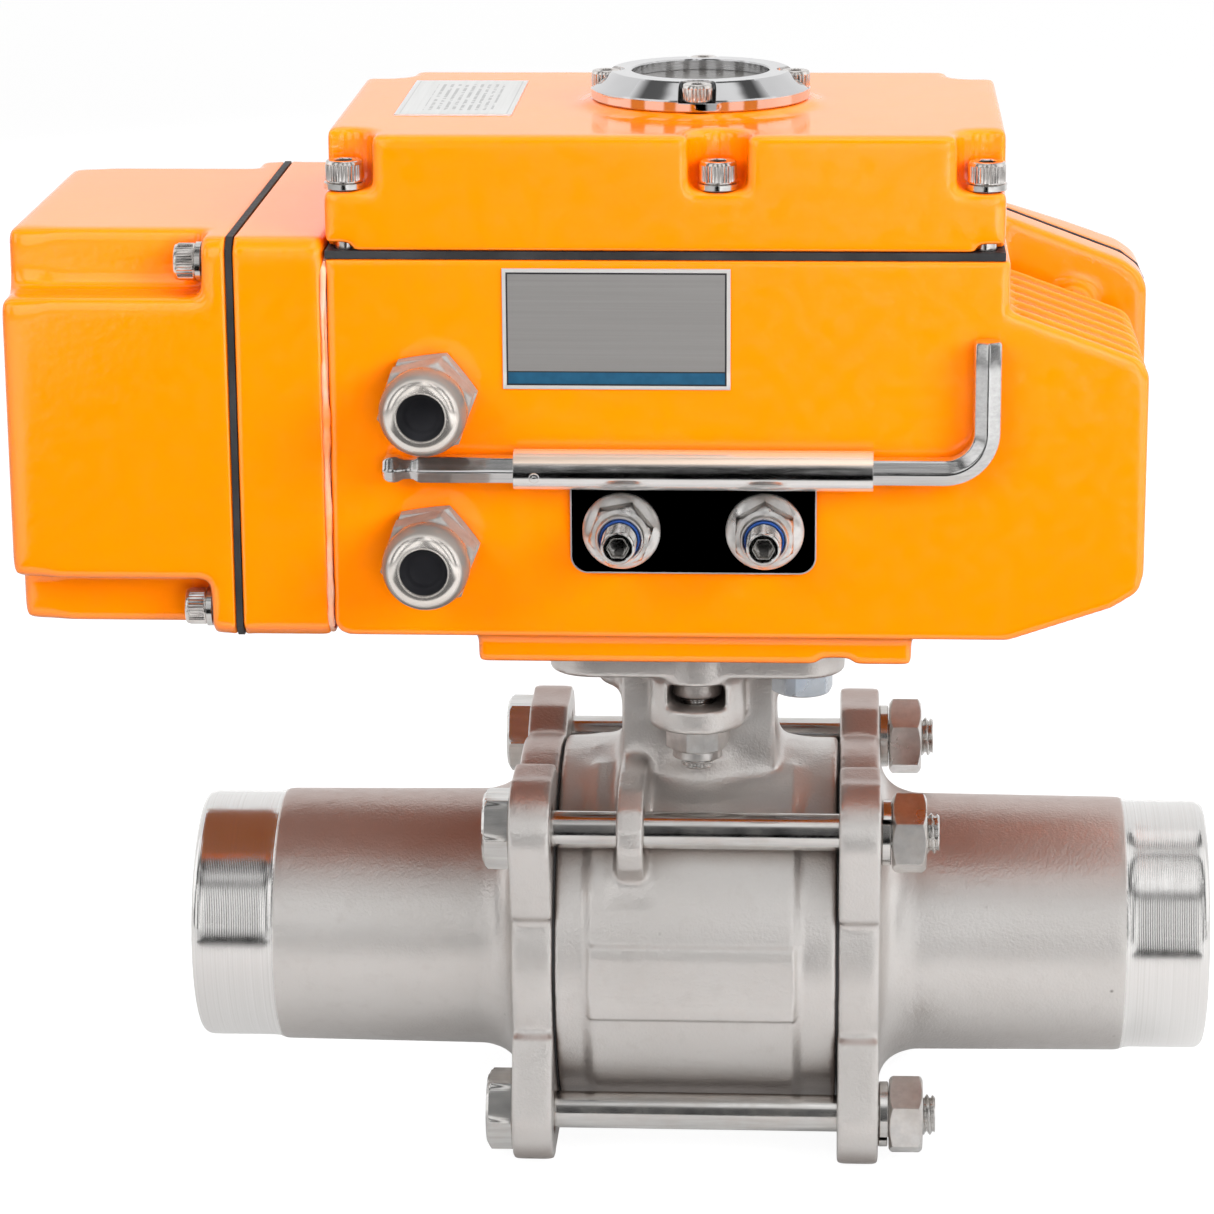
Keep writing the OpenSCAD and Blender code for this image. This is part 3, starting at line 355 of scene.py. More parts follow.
def plastic(name, base, rough, subsurface=0.0):
    m = Mat(name, rough=rough)
    grain = m.noise(scale=500, detail=3, rough=0.6)
    shade = tuple(c * 0.82 for c in base)
    m.set(Base_Color=m.mix(m.noise(scale=40, detail=3).fade(), base, shade),
          Roughness=grain.fade(to=(rough - 0.07, rough + 0.07)),
          Normal=m.bump(grain, strength=0.12, distance=0.0002, bevel=0.0003))
    if subsurface:
        m.set(Subsurface_Weight=subsurface, Subsurface_Radius=(0.002, 0.002, 0.002))
    return m.material


def nickel():
    """Plated domes; the wrench flats behind them are worn to a satin."""
    m = Mat("nickel_plated_brass", metallic=0.9)
    blotch = m.noise(scale=120, detail=3, rough=0.6)
    flats = m.position()[1].fade(over=(-0.0648, -0.0636), smooth=True)
    # painted shade: the band of the dome that faces sideways is darkened and made nearly
    # non-metallic
    band = m.facing()[1].fade(over=(-0.80, -0.58), smooth=True)
    dome = m.tint((0.86, 0.81, 0.76), blotch.fade(over=(0.45, 0.7)), amount=0.2,
                  to=(0.74, 0.64, 0.55))
    dome = m.mix(band, dome, b=(0.19, 0.175, 0.16))
    satin = m.mix(m.noise(scale=400, detail=3).fade(over=(0.35, 0.7)),
                  a=(0.31, 0.305, 0.295), b=(0.24, 0.225, 0.21))
    dome_metallic = m.mix_value(band, a=0.9, b=0.12)
    m.set(Base_Color=m.mix(flats, dome, satin),
          Metallic=m.mix_value(flats, dome_metallic, b=0.12),
          Roughness=m.mix_value(flats, blotch.fade(to=(0.15, 0.21)), b=0.42),
          Specular_IOR_Level=m.mix_value(flats, a=0.5, b=0.15),
          Normal=m.bump(m.noise(scale=1200), strength=0.03, distance=0.0001, bevel=0.0003))
    return m.material


def board():
    """Green board with tracks both ways, dark past x = -124.3 mm."""
    m = Mat("circuit_board_green", rough=0.35)
    tracks_y = m.streaks(scales=(5, 260, 30), detail=0, rough=0.5)
    tracks_z = m.streaks(scales=(5, 30, 260), detail=0, rough=0.5)
    tracks = m.math("MAXIMUM", tracks_y.fade(over=(0.60, 0.615)),
                    tracks_z.fade(over=(0.62, 0.635)))
    green = m.mix(tracks, a=(0.008, 0.12, 0.04), b=(0.03, 0.30, 0.10))
    dark = m.position()[0].fade(over=(-0.1243, -0.12435))
    m.set(Base_Color=m.mix(dark, green, b=(0.02, 0.02, 0.022)),
          Normal=m.bump(tracks, strength=0.2, distance=0.0001, bevel=0.0003))
    return m.material


def sealant():
    m = Mat("silicone_white", rough=0.42)
    lumps = m.noise(scale=260, detail=4, rough=0.6)
    stain = m.noise(scale=90, detail=3).fade(over=(0.35, 0.7))
    m.set(Base_Color=m.mix(stain, a=(0.72, 0.46, 0.35), b=(0.92, 0.25, 0.04)),
          Subsurface_Weight=0.15, Subsurface_Radius=(0.001, 0.001, 0.001),
          Normal=m.bump(lumps, strength=0.6, distance=0.0006))
    return m.material


def nameplate():
    """Brushed plate with a bright rim, a black line inside it and a blue band at the foot."""
    lo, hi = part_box("nameplate")
    band_lo, band_hi = lo[2] + 0.0010, lo[2] + 0.0040
    rim_width, line_end = 0.00085, 0.00125       # distances in from the plate's edge
    m = Mat("nameplate_brushed", metallic=0.3, rough=0.42)
    brushed = m.streaks(scales=(14, 14, 1900), detail=4, rough=0.65)
    plate = m.mix(brushed.fade(), a=(0.185, 0.178, 0.173), b=(0.208, 0.202, 0.196))
    x, _, z = m.position()
    inset = m.inset(x, (lo[0], hi[0]), z, (lo[2], hi[2]))
    band = (z > band_lo) * (z < band_hi)
    blue = m.mix(m.noise(scale=500, detail=3).fade(),
                 a=(0.004, 0.052, 0.105), b=(0.008, 0.070, 0.135))
    colour = m.mix(band, plate, blue)
    frame_line = (inset > rim_width) * (inset < line_end)
    band_line = abs(z - band_hi) < 0.00014
    band_line = band_line * (inset > 0.0009)
    line = m.math("MAXIMUM", frame_line, band_line)
    rim = inset < rim_width
    colour = m.mix(line, colour, b=(0.012, 0.012, 0.014))
    colour = m.mix(rim, colour, b=(0.46, 0.445, 0.43))
    printed = m.math("MAXIMUM", band, line)
    m.set(Base_Color=colour,
          Metallic=m.mix_value(printed, a=0.3, b=0.1),
          Roughness=brushed.fade(to=(0.30, 0.42)),
          Normal=m.bump(brushed * 0.3 + rim * 1.0, strength=0.25, distance=0.0002,
                        bevel=0.0002))
    return m.material


def label():
    """Satin label with a thin frame and rows of plain printed dashes, no lettering."""
    lo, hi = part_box("top_label")
    m = Mat("label_satin_silver", metallic=0.25, rough=0.42)
    brushed = m.streaks(scales=(900, 20, 20))
    x, y, _ = m.position()
    inset = m.inset(x, (lo[0], hi[0]), y, (lo[1], hi[1]))
    line = (inset > 0.0010) * (inset < 0.0013)
    colour = m.mix(brushed.fade(), a=(0.50, 0.50, 0.495), b=(0.56, 0.56, 0.555))
    u = (x - lo[0]) / (hi[0] - lo[0])
    v = (y - lo[1]) / (hi[1] - lo[1])
    row_count, row_fill = 15.0, 0.42
    rows = m.math("FRACT", u * row_count) < row_fill
    centre, half = (0.52, 0.5), (0.30, 0.38)     # printed area, as shares of the label
    printed = (abs(u - centre[0]) < half[0]) * (abs(v - centre[1]) < half[1])
    dashes = m.streaks(scales=(430, 520, 1), detail=1, rough=0.5).fade(over=(0.42, 0.47))
    colour = m.tint(colour, rows * printed * dashes, amount=0.55, to=(0.17, 0.17, 0.175))
    colour = m.tint(colour, line, amount=0.35, to=(0.14, 0.14, 0.14))
    m.set(Base_Color=colour, Normal=m.bump(brushed, strength=0.10, distance=0.0001))
    return m.material


def holder():
    """Mirror polish: the flat plate face is painted near black as a painted dark reflection, its
    cut edges carry a painted highlight, and the tube stays bright with a painted reflection of
    the casing on its upper side.
    """
    plate_top = 0.1222                           # the tube begins above this z
    plate_front = -0.0530
    corner_x, corner_z, rim_start = 0.024, 0.1058, 0.00368   # rounded lower corners
    m = Mat("holder_mirror_polish", metallic=1.0, rough=0.08)
    x, y, z = m.position()
    soft_normal = m.separate(m.bevel(radius=0.0006, samples=6))
    flat = soft_normal[1].fade(over=(-0.90, -0.975)) * (z < plate_top)
    flat = flat * (y > plate_front)
    # painted highlight: a bright grey band along the plate's cut edges past the rounded corners
    past_x = m.math("MAXIMUM", abs(x) - corner_x, 0.0)
    past_z = m.math("MAXIMUM", corner_z - z, 0.0)
    outward = m.math("SQRT", past_x * past_x + past_z * past_z)
    rim = (outward > rim_start) * (z < plate_top)
    scratch = m.streaks(scales=(90, 400, 900), detail=4, rough=0.7)
    polish = m.mix(scratch.fade(), a=(0.80, 0.785, 0.77), b=(0.92, 0.91, 0.90))
    # painted reflection: near black colour on the flat plate face stands in for a dark room
    # mirrored in it
    dark = m.mix(scratch.fade(over=(0.62, 0.85)), a=(0.006, 0.006, 0.007), b=(0.05, 0.05, 0.05))
    up = m.facing()[2]
    tube = z > plate_top
    tube_top_reflection = up.fade(over=(0.30, 0.62), smooth=True) * tube
    tube_lower = up.fade(over=(-0.45, -0.75), smooth=True) * tube
    # painted reflection: the tube's upper side is tinted warm like the casing above it
    polish = m.mix(tube_top_reflection, polish, b=(0.88, 0.70, 0.57))
    metallic = m.mix_value(tube_top_reflection, a=1.0, b=0.72)
    metallic = m.mix_value(tube_lower, metallic, b=0.66)
    m.set(Base_Color=m.mix(rim, m.mix(flat, polish, dark), b=(0.36, 0.34, 0.33)),
          Metallic=m.mix_value(rim, metallic, b=0.2),
          Specular_IOR_Level=0.25,
          Roughness=m.mix_value(flat, scratch.fade(to=(0.10, 0.2)), b=0.06),
          Normal=m.bump(scratch, strength=0.05, distance=0.0001, bevel=0.00025))
    return m.material


def glass():
    m = Mat("sight_glass_clear", base=(0.20, 0.19, 0.18), rough=0.05)
    m.set(Transmission_Weight=0.55, IOR=1.45,
          Roughness=m.noise(scale=80, detail=3).fade(to=(0.22, 0.34)))
    return m.material


SCREW_SATIN = bright("screw_satin", base=(0.90, 0.86, 0.83), rough=0.20, brush=(500, 500, 60),
                     tint=(0.70, 0.60, 0.52), tint_amount=0.3, bevel=0.0001)
SATIN_NUT = bright("satin_nut", base=(0.88, 0.86, 0.84), rough=0.30, brush=(400, 400, 400),
                   tint=(0.66, 0.57, 0.49), tint_amount=0.3, bevel=0.0004, bump=0.06)
GLAND_BODY = bright("nickel_satin_body", base=(0.33, 0.32, 0.31), rough=0.45,
                    brush=(600, 600, 600), tint=(0.33, 0.29, 0.26), tint_amount=0.35,
                    bevel=0.0005, bump=0.05, metallic=0.12, specular=0.15)
LOOK = {
    "orange_powder_coat": orange_powder_coat(),
    "cast_stainless": cast_stainless(),
    "bright_stainless": bright("bright_stainless_turned", base=(0.80, 0.785, 0.765), rough=0.15,
                               brush=(60, 700, 700), tint=(0.60, 0.51, 0.43)),
    "zinc_steel": bright("zinc_plate_blue", base=(0.66, 0.70, 0.75), rough=0.24,
                         brush=(300, 300, 300), tint=(0.52, 0.60, 0.72), tint_amount=0.5),
    "chrome": bright("chrome_mirror", base=(0.80, 0.80, 0.81), rough=0.035,
                     brush=(30, 30, 30), bump=0.02),
    "nickel_brass": nickel(),
    "black_rubber": rubber("black_rubber_matte", base=(0.012, 0.012, 0.013), rough=0.55),
    "graphite_seal": rubber("graphite_seal_dark", base=(0.02, 0.02, 0.02), rough=0.7),
    "ptfe": plastic("ptfe_white", base=(0.82, 0.80, 0.74), rough=0.45, subsurface=0.2),
    "indicator_red": plastic("indicator_red_plastic", base=(0.62, 0.03, 0.015), rough=0.25),
    "bronze": bright("gear_bronze", base=(0.62, 0.40, 0.17), rough=0.28,
                     brush=(500, 60, 60), tint=(0.42, 0.25, 0.10), tint_amount=0.5),
    "drive_steel": bright("drive_steel_turned", base=(0.42, 0.42, 0.43), rough=0.25,
                          brush=(700, 30, 30)),
    "plate_steel": bright("zinc_sheet", base=(0.60, 0.62, 0.64), rough=0.3,
                          brush=(40, 400, 400), tint=(0.5, 0.55, 0.62), tint_amount=0.4),
    "motor_case": plastic("motor_black_paint", base=(0.03, 0.03, 0.034), rough=0.35),
    "switch_plastic": plastic("switch_black", base=(0.02, 0.02, 0.022), rough=0.5),
    "key_steel": bright("key_bright_plate", base=(0.76, 0.755, 0.75), rough=0.16,
                        brush=(60, 1400, 1400), bump=0.10, bevel=0.0002),
    "polished_ball": bright("ball_polish", base=(0.82, 0.81, 0.80), rough=0.06,
                            brush=(60, 60, 60), bump=0.02),
    "circuit_board": board(),
    "white_sealant": sealant(),
    "label_metal": label(),
    "polished_plate": holder(),
    "sight_glass": glass(),
    "nameplate_metal": nameplate(),
}
NODE_LOOK = {"gland_bodies": GLAND_BODY, "tie_nuts": SATIN_NUT, "pad_stud_nuts": SATIN_NUT}
for name, part in NODES.items():
    material = NODE_LOOK.get(name, LOOK[SLOT[name]])
    if not part.material_slots:
        part.data.materials.append(material)
    for slot in part.material_slots:
        slot.material = material


# ------------------------------------------------------------------ mesh helpers
def add_part(name, mesh, slot, replaces=None, material=None, body=ROOT, sharp=180):
    """Add a mesh to the product; edges steeper than `sharp` degrees stay sharp."""
    part = bpy.data.objects.new(name, mesh)
    COLLECTION.objects.link(part)
    mesh.materials.clear()
    mesh.materials.append(material or LOOK[slot])
    mesh.shade_smooth()
    if sharp < 180:
        mesh.set_sharp_from_angle(angle=math.radians(sharp))
    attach(part, body)
    if replaces:
        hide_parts(replaces)


def with_modifier(name, mesh, kind, **settings):
    """The mesh as one modifier leaves it."""
    holder_object = bpy.data.objects.new(name, mesh)
    COLLECTION.objects.link(holder_object)
    modifier = holder_object.modifiers.new(kind[0].lower(), kind)
    for key, value in settings.items():
        setattr(modifier, key, value)
    graph = bpy.context.evaluated_depsgraph_get()
    graph.update()
    result = bpy.data.meshes.new_from_object(
        holder_object.evaluated_get(graph), preserve_all_data_layers=False, depsgraph=graph)
    bpy.data.objects.remove(holder_object)
    return result


def vectors(collection, attribute):
    values = np.empty(3 * len(collection), dtype=np.float32)
    collection.foreach_get(attribute, values)
    return values.reshape(-1, 3).astype(np.float64)


def store(mesh, co):
    mesh.vertices.foreach_set("co", co.astype(np.float32).ravel())
    mesh.update()


def neighbour_mean(mesh):
    """A function that gives the mean of each vertex's neighbours."""
    count = len(mesh.vertices)
    ends = np.empty(2 * len(mesh.edges), dtype=np.int32)
    mesh.edges.foreach_get("vertices", ends)
    first, second = ends.reshape(-1, 2).T
    degree = np.maximum(1, np.bincount(ends, minlength=count))[:, None]

    def mean(co):
        total = np.empty_like(co)
        for k in range(3):
            total[:, k] = (np.bincount(first, co[second, k], count)
                           + np.bincount(second, co[first, k], count))
        return total / degree
    return mean


def relax(mesh, passes, weight=None):
    co = vectors(mesh.vertices, "co")
    mean = neighbour_mean(mesh)
    pull = 0.5 if weight is None else 0.5 * weight(co)[:, None]
    for _ in range(passes):
        co += (mean(co) - co) * pull
    store(mesh, co)


def fill_corners(mesh, passes, weight):
    """Cast fillets: only inside corners are filled, outside edges stay."""
    co = vectors(mesh.vertices, "co")
    mean = neighbour_mean(mesh)
    pull = weight(co)[:, None]
    for i in range(passes):
        if i % 6 == 0:
            store(mesh, co)
            normals = vectors(mesh.vertex_normals, "vector")
        move = mean(co) - co
        outward = np.sum(move * normals, axis=1, keepdims=True)
        co += np.where(outward > 0, move, 0.0) * 0.5 * pull
    store(mesh, co)


def above(v, start, end):
    """Smooth rise from 0 at start to 1 at end."""
    t = np.clip((v - start) / (end - start), 0, 1)
    return t * t * (3 - 2 * t)


def below(v, start, end):
    return 1 - above(v, start, end)


# ------------------------------------------------------------------ castings
def casting(node, voxel, passes, triangles, fill=0, fill_weight=None, relax_weight=None,
            shape=None):
    """The CAD solid with the rounded edges and soft corners of a casting."""
    welded = NODES[node].data.copy()
    bm = bmesh.new()
    bm.from_mesh(welded)
    bmesh.ops.remove_doubles(bm, verts=bm.verts, dist=2e-6)
    bm.normal_update()
    bm.to_mesh(welded)
    bm.free()
    skin = with_modifier("tmp_" + node, welded, "REMESH",
                         mode="VOXEL", voxel_size=voxel, adaptivity=0.0)
    relax(skin, passes, relax_weight)
    if shape:
        shape(skin)
    if fill:
        fill_corners(skin, fill, fill_weight)
        relax(skin, 2, relax_weight)
    full_count = len(skin.polygons) * 2
    skin = with_modifier("tmp2_" + node, skin, "DECIMATE", ratio=min(1.0, triangles / full_count))
    lo, hi = np.array(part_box(node))
    store(skin, np.clip(vectors(skin.vertices, "co"), lo + 1e-7, hi - 1e-7))
    add_part(node + "_skin", skin, SLOT[node], node, body=NODES[node]["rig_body"])


def body_relief(mesh):
    """Raised centre panel with sloped sides and the blank plaque across its front."""
    panel_height, plaque_height = 1.45, 2.15
    co = vectors(mesh.vertices, "co")
    x, y, z = co.T * 1000
    r = np.hypot(y, z)
    angle = np.degrees(np.arctan2(-y, z))        # 0 at the top, 90 at the front
    inside = ((np.abs(x) < 32.6) & (r > 44.3) & (r < BODY_R + 1.6)
              & (angle > 5) & (angle < 175))
    # the relief dies out round the neck and the ear
    weight = np.clip(above(np.hypot(x, y), 22.5, 26) + (z < 30), 0, 1)
    ear_x = np.abs(x - EAR_X)
    ear = (ear_x < 6.5) & (z > 17)
    weight = np.where(ear, weight * above(ear_x, 4.2, 6.2), weight)
    panel = (above(x, -27.2, -23.9) * below(x, 22.4, 25.7)
             * above(angle, 12, 17.5) * below(angle, 150, 156))
    plaque = (above(x, -25.4, -24.9) * below(x, 23.4, 23.9)
              * above(angle, 78.3, 79.4) * below(angle, 101.2, 102.3))
    height = panel_height * panel
    height = np.where(plaque > 0, height + plaque * (plaque_height - height), height)
    target = BODY_R + height
    scale = np.where(inside, 1 + weight * (target / np.maximum(r, 1) - 1), 1.0)
    co[:, 1] *= scale
    co[:, 2] *= scale
    store(mesh, co)


def body_fillets(co):
    """Fillets at the neck, the front ear, the webs and the top pad, clear of one tie bolt."""
    x, y, z = co.T * 1000
    q = np.hypot(x, y)
    neck = above(z, 27, 33) * below(z, 54, 57.5) * above(q, 15.2, 16.5) * below(q, 31, 36)
    ear = below(np.abs(x - EAR_X), 9, 12) * above(-y, 20, 24) * above(z, 10, 14)
    web = above(np.abs(x), 17, 18) * above(z, 58, 60) * below(z, 66, 69) * 0.5
    pad = above(z, 66, 69) * above(q, 16.5, 17.5) * below(z, 71.3, 72.2) * 0.35
    bolt = np.hypot(y + TIE_Y, z - TIE_Z)
    return (np.clip(np.maximum.reduce([neck, 0.5 * ear, web, pad]), 0, 1)
            * above(bolt, 5.6, 6.6))


def window_weight(co):
    """Corners of the stud window stay crisp."""
    x, y, z = co.T * 1000
    window = (np.abs(x) < 8.2) & (np.abs(y) > 17) & (z > 62.8) & (z < 71)
    return np.where(window, 0.35, 1.0)


def cap_fillets(co):
    """End caps: clear of the bore, the bolt holes and the outer ends."""
    x, y, z = co.T * 1000
    hole = np.min([np.hypot(y - ty, z - tz) for ty, tz in TIE_PLACES], axis=0)
    return above(np.hypot(y, z), 31.8, 33.0) * above(hole, 6.2, 7.2) * (np.abs(x) < 100)


def even(co):
    return np.full(len(co), 0.9)


def crisp(axis, plane, end=None):
    """Edges in a gasket's plane keep a small radius; short of `end` smoothing is lighter."""
    def weight(co):
        c = co[:, axis]
        result = 1 - 0.8 * below(np.abs(c - plane), 0.0008, 0.0022)
        if end is not None:
            result = result * (0.38 + 0.62 * above(end - c, 0.0, 0.006))
        return result
    return weight


cover_lo, cover_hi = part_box("cover_gasket")
box_lo, box_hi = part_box("box_gasket")
# node, voxel size, smoothing passes, triangles, fill passes, fill weight, smoothing weight, shape
for spec in (
    ("housing", 0.00070, 9, 110000, 10, even, crisp(2, cover_lo[2])),
    ("top_cover", 0.00070, 12, 60000, 10, even, crisp(2, cover_hi[2])),
    ("box_adapter", 0.00070, 10, 40000, 8, even, crisp(0, box_hi[0])),
    ("control_box_cover", 0.00075, 46, 50000, 14, even, crisp(0, box_lo[0], end=-0.146)),
    ("rear_cover", 0.00075, 16, 50000, 8, even),
    ("valve_body", 0.00055, 7, 150000, 135, body_fillets, window_weight, body_relief),
    ("end_cap_left", 0.00065, 6, 70000, 26, cap_fillets),
    ("end_cap_right", 0.00065, 6, 70000, 26, cap_fillets),
    ("pad_stud_collars", 0.0004, 3, 6000),
):
    casting(*spec)


# ------------------------------------------------------------------ rings of points
def ring_mesh(name, rings, start_cap=True, end_cap=True):
    """Quads between equal rings of points in mm, with n-gon end caps."""
    count = len(rings[0])
    points = [p for ring_points in rings for p in ring_points]
    faces = []
    for i in range(len(rings) - 1):
        for j in range(count):
            a, b = i * count + j, i * count + (j + 1) % count
            faces.append((a, b, b + count, a + count))
    if start_cap:
        faces.append(tuple(range(count - 1, -1, -1)))
    if end_cap:
        faces.append(tuple(range((len(rings) - 1) * count, len(rings) * count)))
    mesh = bpy.data.meshes.new(name)
    mesh.from_pydata([Vector(p) * MM for p in points], [], faces)
    bm = bmesh.new()
    bm.from_mesh(mesh)
    bmesh.ops.recalc_face_normals(bm, faces=bm.faces)
    bm.to_mesh(mesh)
    bm.free()
    mesh.update()
    return mesh


def join(name, meshes):
    bm = bmesh.new()
    for mesh in meshes:
        bm.from_mesh(mesh)
        bpy.data.meshes.remove(mesh)
    joined = bpy.data.meshes.new(name)
    bm.to_mesh(joined)
    bm.free()
    return joined


AXES = {  # local (u, v, w) with w along the part's own axis
    "+x": lambda u, v, w: (w, u, v),
    "-x": lambda u, v, w: (-w, v, u),
    "+y": lambda u, v, w: (v, w, u),
    "-y": lambda u, v, w: (u, -w, v),
    "+z": lambda u, v, w: (u, v, w),
}


def place(rings, axis, at):
    turn_to = AXES[axis]
    return [[tuple(a + b for a, b in zip(at, turn_to(*p))) for p in points] for points in rings]


def turned(rings, degrees):
    """Rings turned about their own axis."""
    c, s = math.cos(math.radians(degrees)), math.sin(math.radians(degrees))
    return [[(u * c - v * s, u * s + v * c, w) for u, v, w in points] for points in rings]


def ring(radius, w, count, turn=0.0):
    """Points round the axis at w; the radius may be a function of the angle."""
    points = []
    for j in range(count):
        t = 2 * math.pi * j / count
        r = radius(t) if callable(radius) else radius
        points.append((r * math.cos(t + turn), r * math.sin(t + turn), w))
    return points


def hex_radius(t, apothem):
    return apothem / math.cos((t % (math.pi / 3)) - math.pi / 6)


def hex_ring(apothem, limit, w, count):
    """A hexagon whose corners are cut at the radius `limit`."""
    return ring(lambda t: min(hex_radius(t, apothem), limit), w, count)


def thread_rings(r, pitch, start, end, count, chamfer):
    """An external thread; it runs out in a chamfer at its end."""
    depth = 0.6 * pitch
    steps = max(2, int((end - start) / pitch * 9))
    rings = []
    for i in range(steps + 1):
        w = start + (end - start) * i / steps

        def radius(t):
            phase = (w / pitch - t / (2 * math.pi)) % 1.0
            crest = min(1, max(0, (abs(phase - 0.5) * 2 - 0.12) / 0.76))
            return min(r - depth * (1 - crest), r - max(0, chamfer - (end - w)) * 0.9)
        rings.append(ring(radius, w, count))
    return rings


# ------------------------------------------------------------------ socket screws and washers
def socket_screw(axis, at, radius, height, across, depth, shank_r, shank_length, count=120):
    """Knurled socket head on a plain shank; `at` is the centre of the head's underside."""
    turn = draw.uniform(0, 6)

    def knurl(t):
        return radius - (0.30, 0.10, 0.0, 0.10)[round(t / (2 * math.pi) * count) % 4]

    def socket(t):
        return hex_radius(t, across / 2)

    def socket_mouth(t):
        return max(across / 2 * 1.22, socket(t) + 0.06)

    # radius, height above the underside
    profile = (
        (shank_r * 0.9, -shank_length), (shank_r, -shank_length + 0.4), (shank_r, 0.0),
        (radius - 0.35, 0.0), (radius - 0.06, 0.25), (radius - 0.06, 0.45),
        (knurl, 0.6), (knurl, height - 0.95),
        (radius - 0.10, height - 0.8), (radius - 0.14, height - 0.45),
        (radius - 0.28, height - 0.18), (radius - 0.55, height),
        (socket_mouth, height), (socket, height - 0.22), (socket, height - depth),
        (across * 0.36, height - depth - 0.1), (0.12, height - depth - 0.55),
    )
    rings = [ring(r, w, count, turn) for r, w in profile]
    return ring_mesh("screw", place(rings, axis, at))


# axis, centre of the head's underside, shank length
casing_places = [("+z", (x, y, 190.9), 27) for x in (-78.5, 5.45, 65.3) for y in (-45.5, 45.5)]
casing_places += [("-x", (-112.77, y, z), 16) for y in (-44, 51.8) for z in (172.2, 91.2)]
casing_places += [("+y", (x, 51.3, z), 25)
                  for x, z in ((78, 158.5), (97.5, 152.5), (78, 98), (97.5, 103.5))]
screws = [socket_screw(axis, at, radius=4.25, height=5.0, across=4.0, depth=2.6,
                       shank_r=2.45, shank_length=length) for axis, at, length in casing_places]
add_part("socket_head_screws", join("socket_head_screws", screws), "bright_stainless",
         "casing_screws", SCREW_SATIN, sharp=22)

RING_PITCH_R = 22
RING_HEAD = 4.0
ring_head_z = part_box("sight_ring_screws")[1][2] * 1000 - RING_HEAD
screws = []
for angle in (0, 90, 180, 270):
    c, s = math.cos(math.radians(angle)), math.sin(math.radians(angle))
    at = (RING_PITCH_R * c, RING_PITCH_R * s, ring_head_z)
    screws.append(socket_screw("+z", at, radius=3.5, height=RING_HEAD, across=3.0, depth=2.0,
                               shank_r=1.95, shank_length=8.5, count=96))
add_part("ring_screws", join("ring_screws", screws), "bright_stainless",
         "sight_ring_screws", SCREW_SATIN, sharp=22)


def split_washer(at, bore, outer, height, gap_at):
    """Spring washer along +X; its two ends stand slightly apart."""
    gap = math.radians(9)
    edge = 0.25
    section = [(bore, edge), (bore, height - edge), (bore + edge, height), (outer - edge, height),
               (outer, height - edge), (outer, edge), (outer - edge, 0), (bore + edge, 0)]
    rings = []
    for i in range(73):
        share = i / 72
        t = gap_at + gap / 2 + (2 * math.pi - gap) * share
        lift = (share - 0.5) * 0.25
        c, s = math.cos(t), math.sin(t)
        rings.append([(r * c, r * s, w * 0.9 + 0.05 * height + lift * 0.9) for r, w in section])
    return ring_mesh("washer", place(rings, "+x", at))


washers = [split_washer((43.62, y, z), bore=5.0, outer=7.75, height=2.5,
                        gap_at=draw.uniform(0, 6.28)) for y, z in TIE_PLACES]
add_part("split_washers", join("split_washers", washers), "bright_stainless",
         "tie_spring_washers", sharp=30)


# ------------------------------------------------------------------ bolts, studs, stop screws
FINE, COARSE = 96, 48                   # points round a head or nut, and round a stud


def tie_bolt(y, z):
    """Hexagon head at x = -50, threaded at the right end."""
    rings = [ring(2.2, 0.35, FINE), ring(2.6, 0.0, FINE)]
    # apothem, corner limit, distance from the head's face
    rings += [hex_ring(apothem, limit, w, FINE) for apothem, limit, w in (
        (8.5, 8.05, 0.0), (8.5, 9.15, 0.62), (8.5, 10, 1.15), (8.5, 10, 6.15), (8.32, 10, 6.4))]
    rings += [ring(r, w, FINE) for r, w in ((4.4, 6.4), (4.4, 86.0), (4.1, 86.2), (4.1, 103.2))]
    rings += thread_rings(4.85, pitch=1.5, start=103.4, end=107.2, count=FINE, chamfer=0.8)
    rings.append(ring(1.0, 107.2, FINE))
    return ring_mesh("bolt", place(rings, "+x", (-50, y, z)))


add_part("hex_tie_bolts", join("hex_tie_bolts", [tie_bolt(y, z) for y, z in TIE_PLACES]),
         "bright_stainless", "tie_bolts", sharp=30)


def pad_stud(y):
    """Threaded at its lower end and from z = 57.6 up, plain elsewhere."""
    foot = thread_rings(3.95, pitch=1.25, start=-3.4, end=0.0, count=COARSE, chamfer=0.7)
    foot = [[(u, v, -w) for u, v, w in points] for points in foot]
    rings = place(foot, "+z", (0, y, 47.5))[::-1]
    upper = [ring(3.6, 51.2, COARSE)]
    upper += thread_rings(3.95, pitch=1.25, start=57.6, end=65.8, count=COARSE, chamfer=0.0)
    upper += [ring(3.95, 65.9, COARSE), ring(3.95, 89, COARSE)]
    return ring_mesh("stud", rings + place(upper, "+z", (0, y, 0)))


studs = [pad_stud(STUD_Y * side) for side in (-1, 1)]
add_part("threaded_pad_studs", join("threaded_pad_studs", studs), "bright_stainless", "pad_studs")


def stop_screw(x):
    """Set screw pointing to the front, with a hexagon socket in its end."""
    rings = [ring(r, w, COARSE) for r, w in ((2.5, 7.3), (2.5, 9.0), (3.95, 9.2), (3.95, 51.0))]
    rings += thread_rings(3.95, pitch=1.25, start=51.2, end=67.9, count=COARSE, chamfer=0.7)
    rings += [hex_ring(apothem, limit, w, COARSE) for apothem, limit, w in (
        (2.25, 2.45, 67.9), (2.0, 9, 67.6), (2.0, 9, 64.0))]
    return ring_mesh("stop", place(rings, "-y", (x, 0, STOP_Z)))


stops = [stop_screw(STOP_X * side) for side in (-1, 1)]
add_part("threaded_stop_screws", join("threaded_stop_screws", stops), "bright_stainless",
         "stop_screws", sharp=40)

# ------------------------------------------------------------------ cable glands
GLAND_PLACES = [(-59.7, -49.94, z) for z in (142.5, 107.0)]


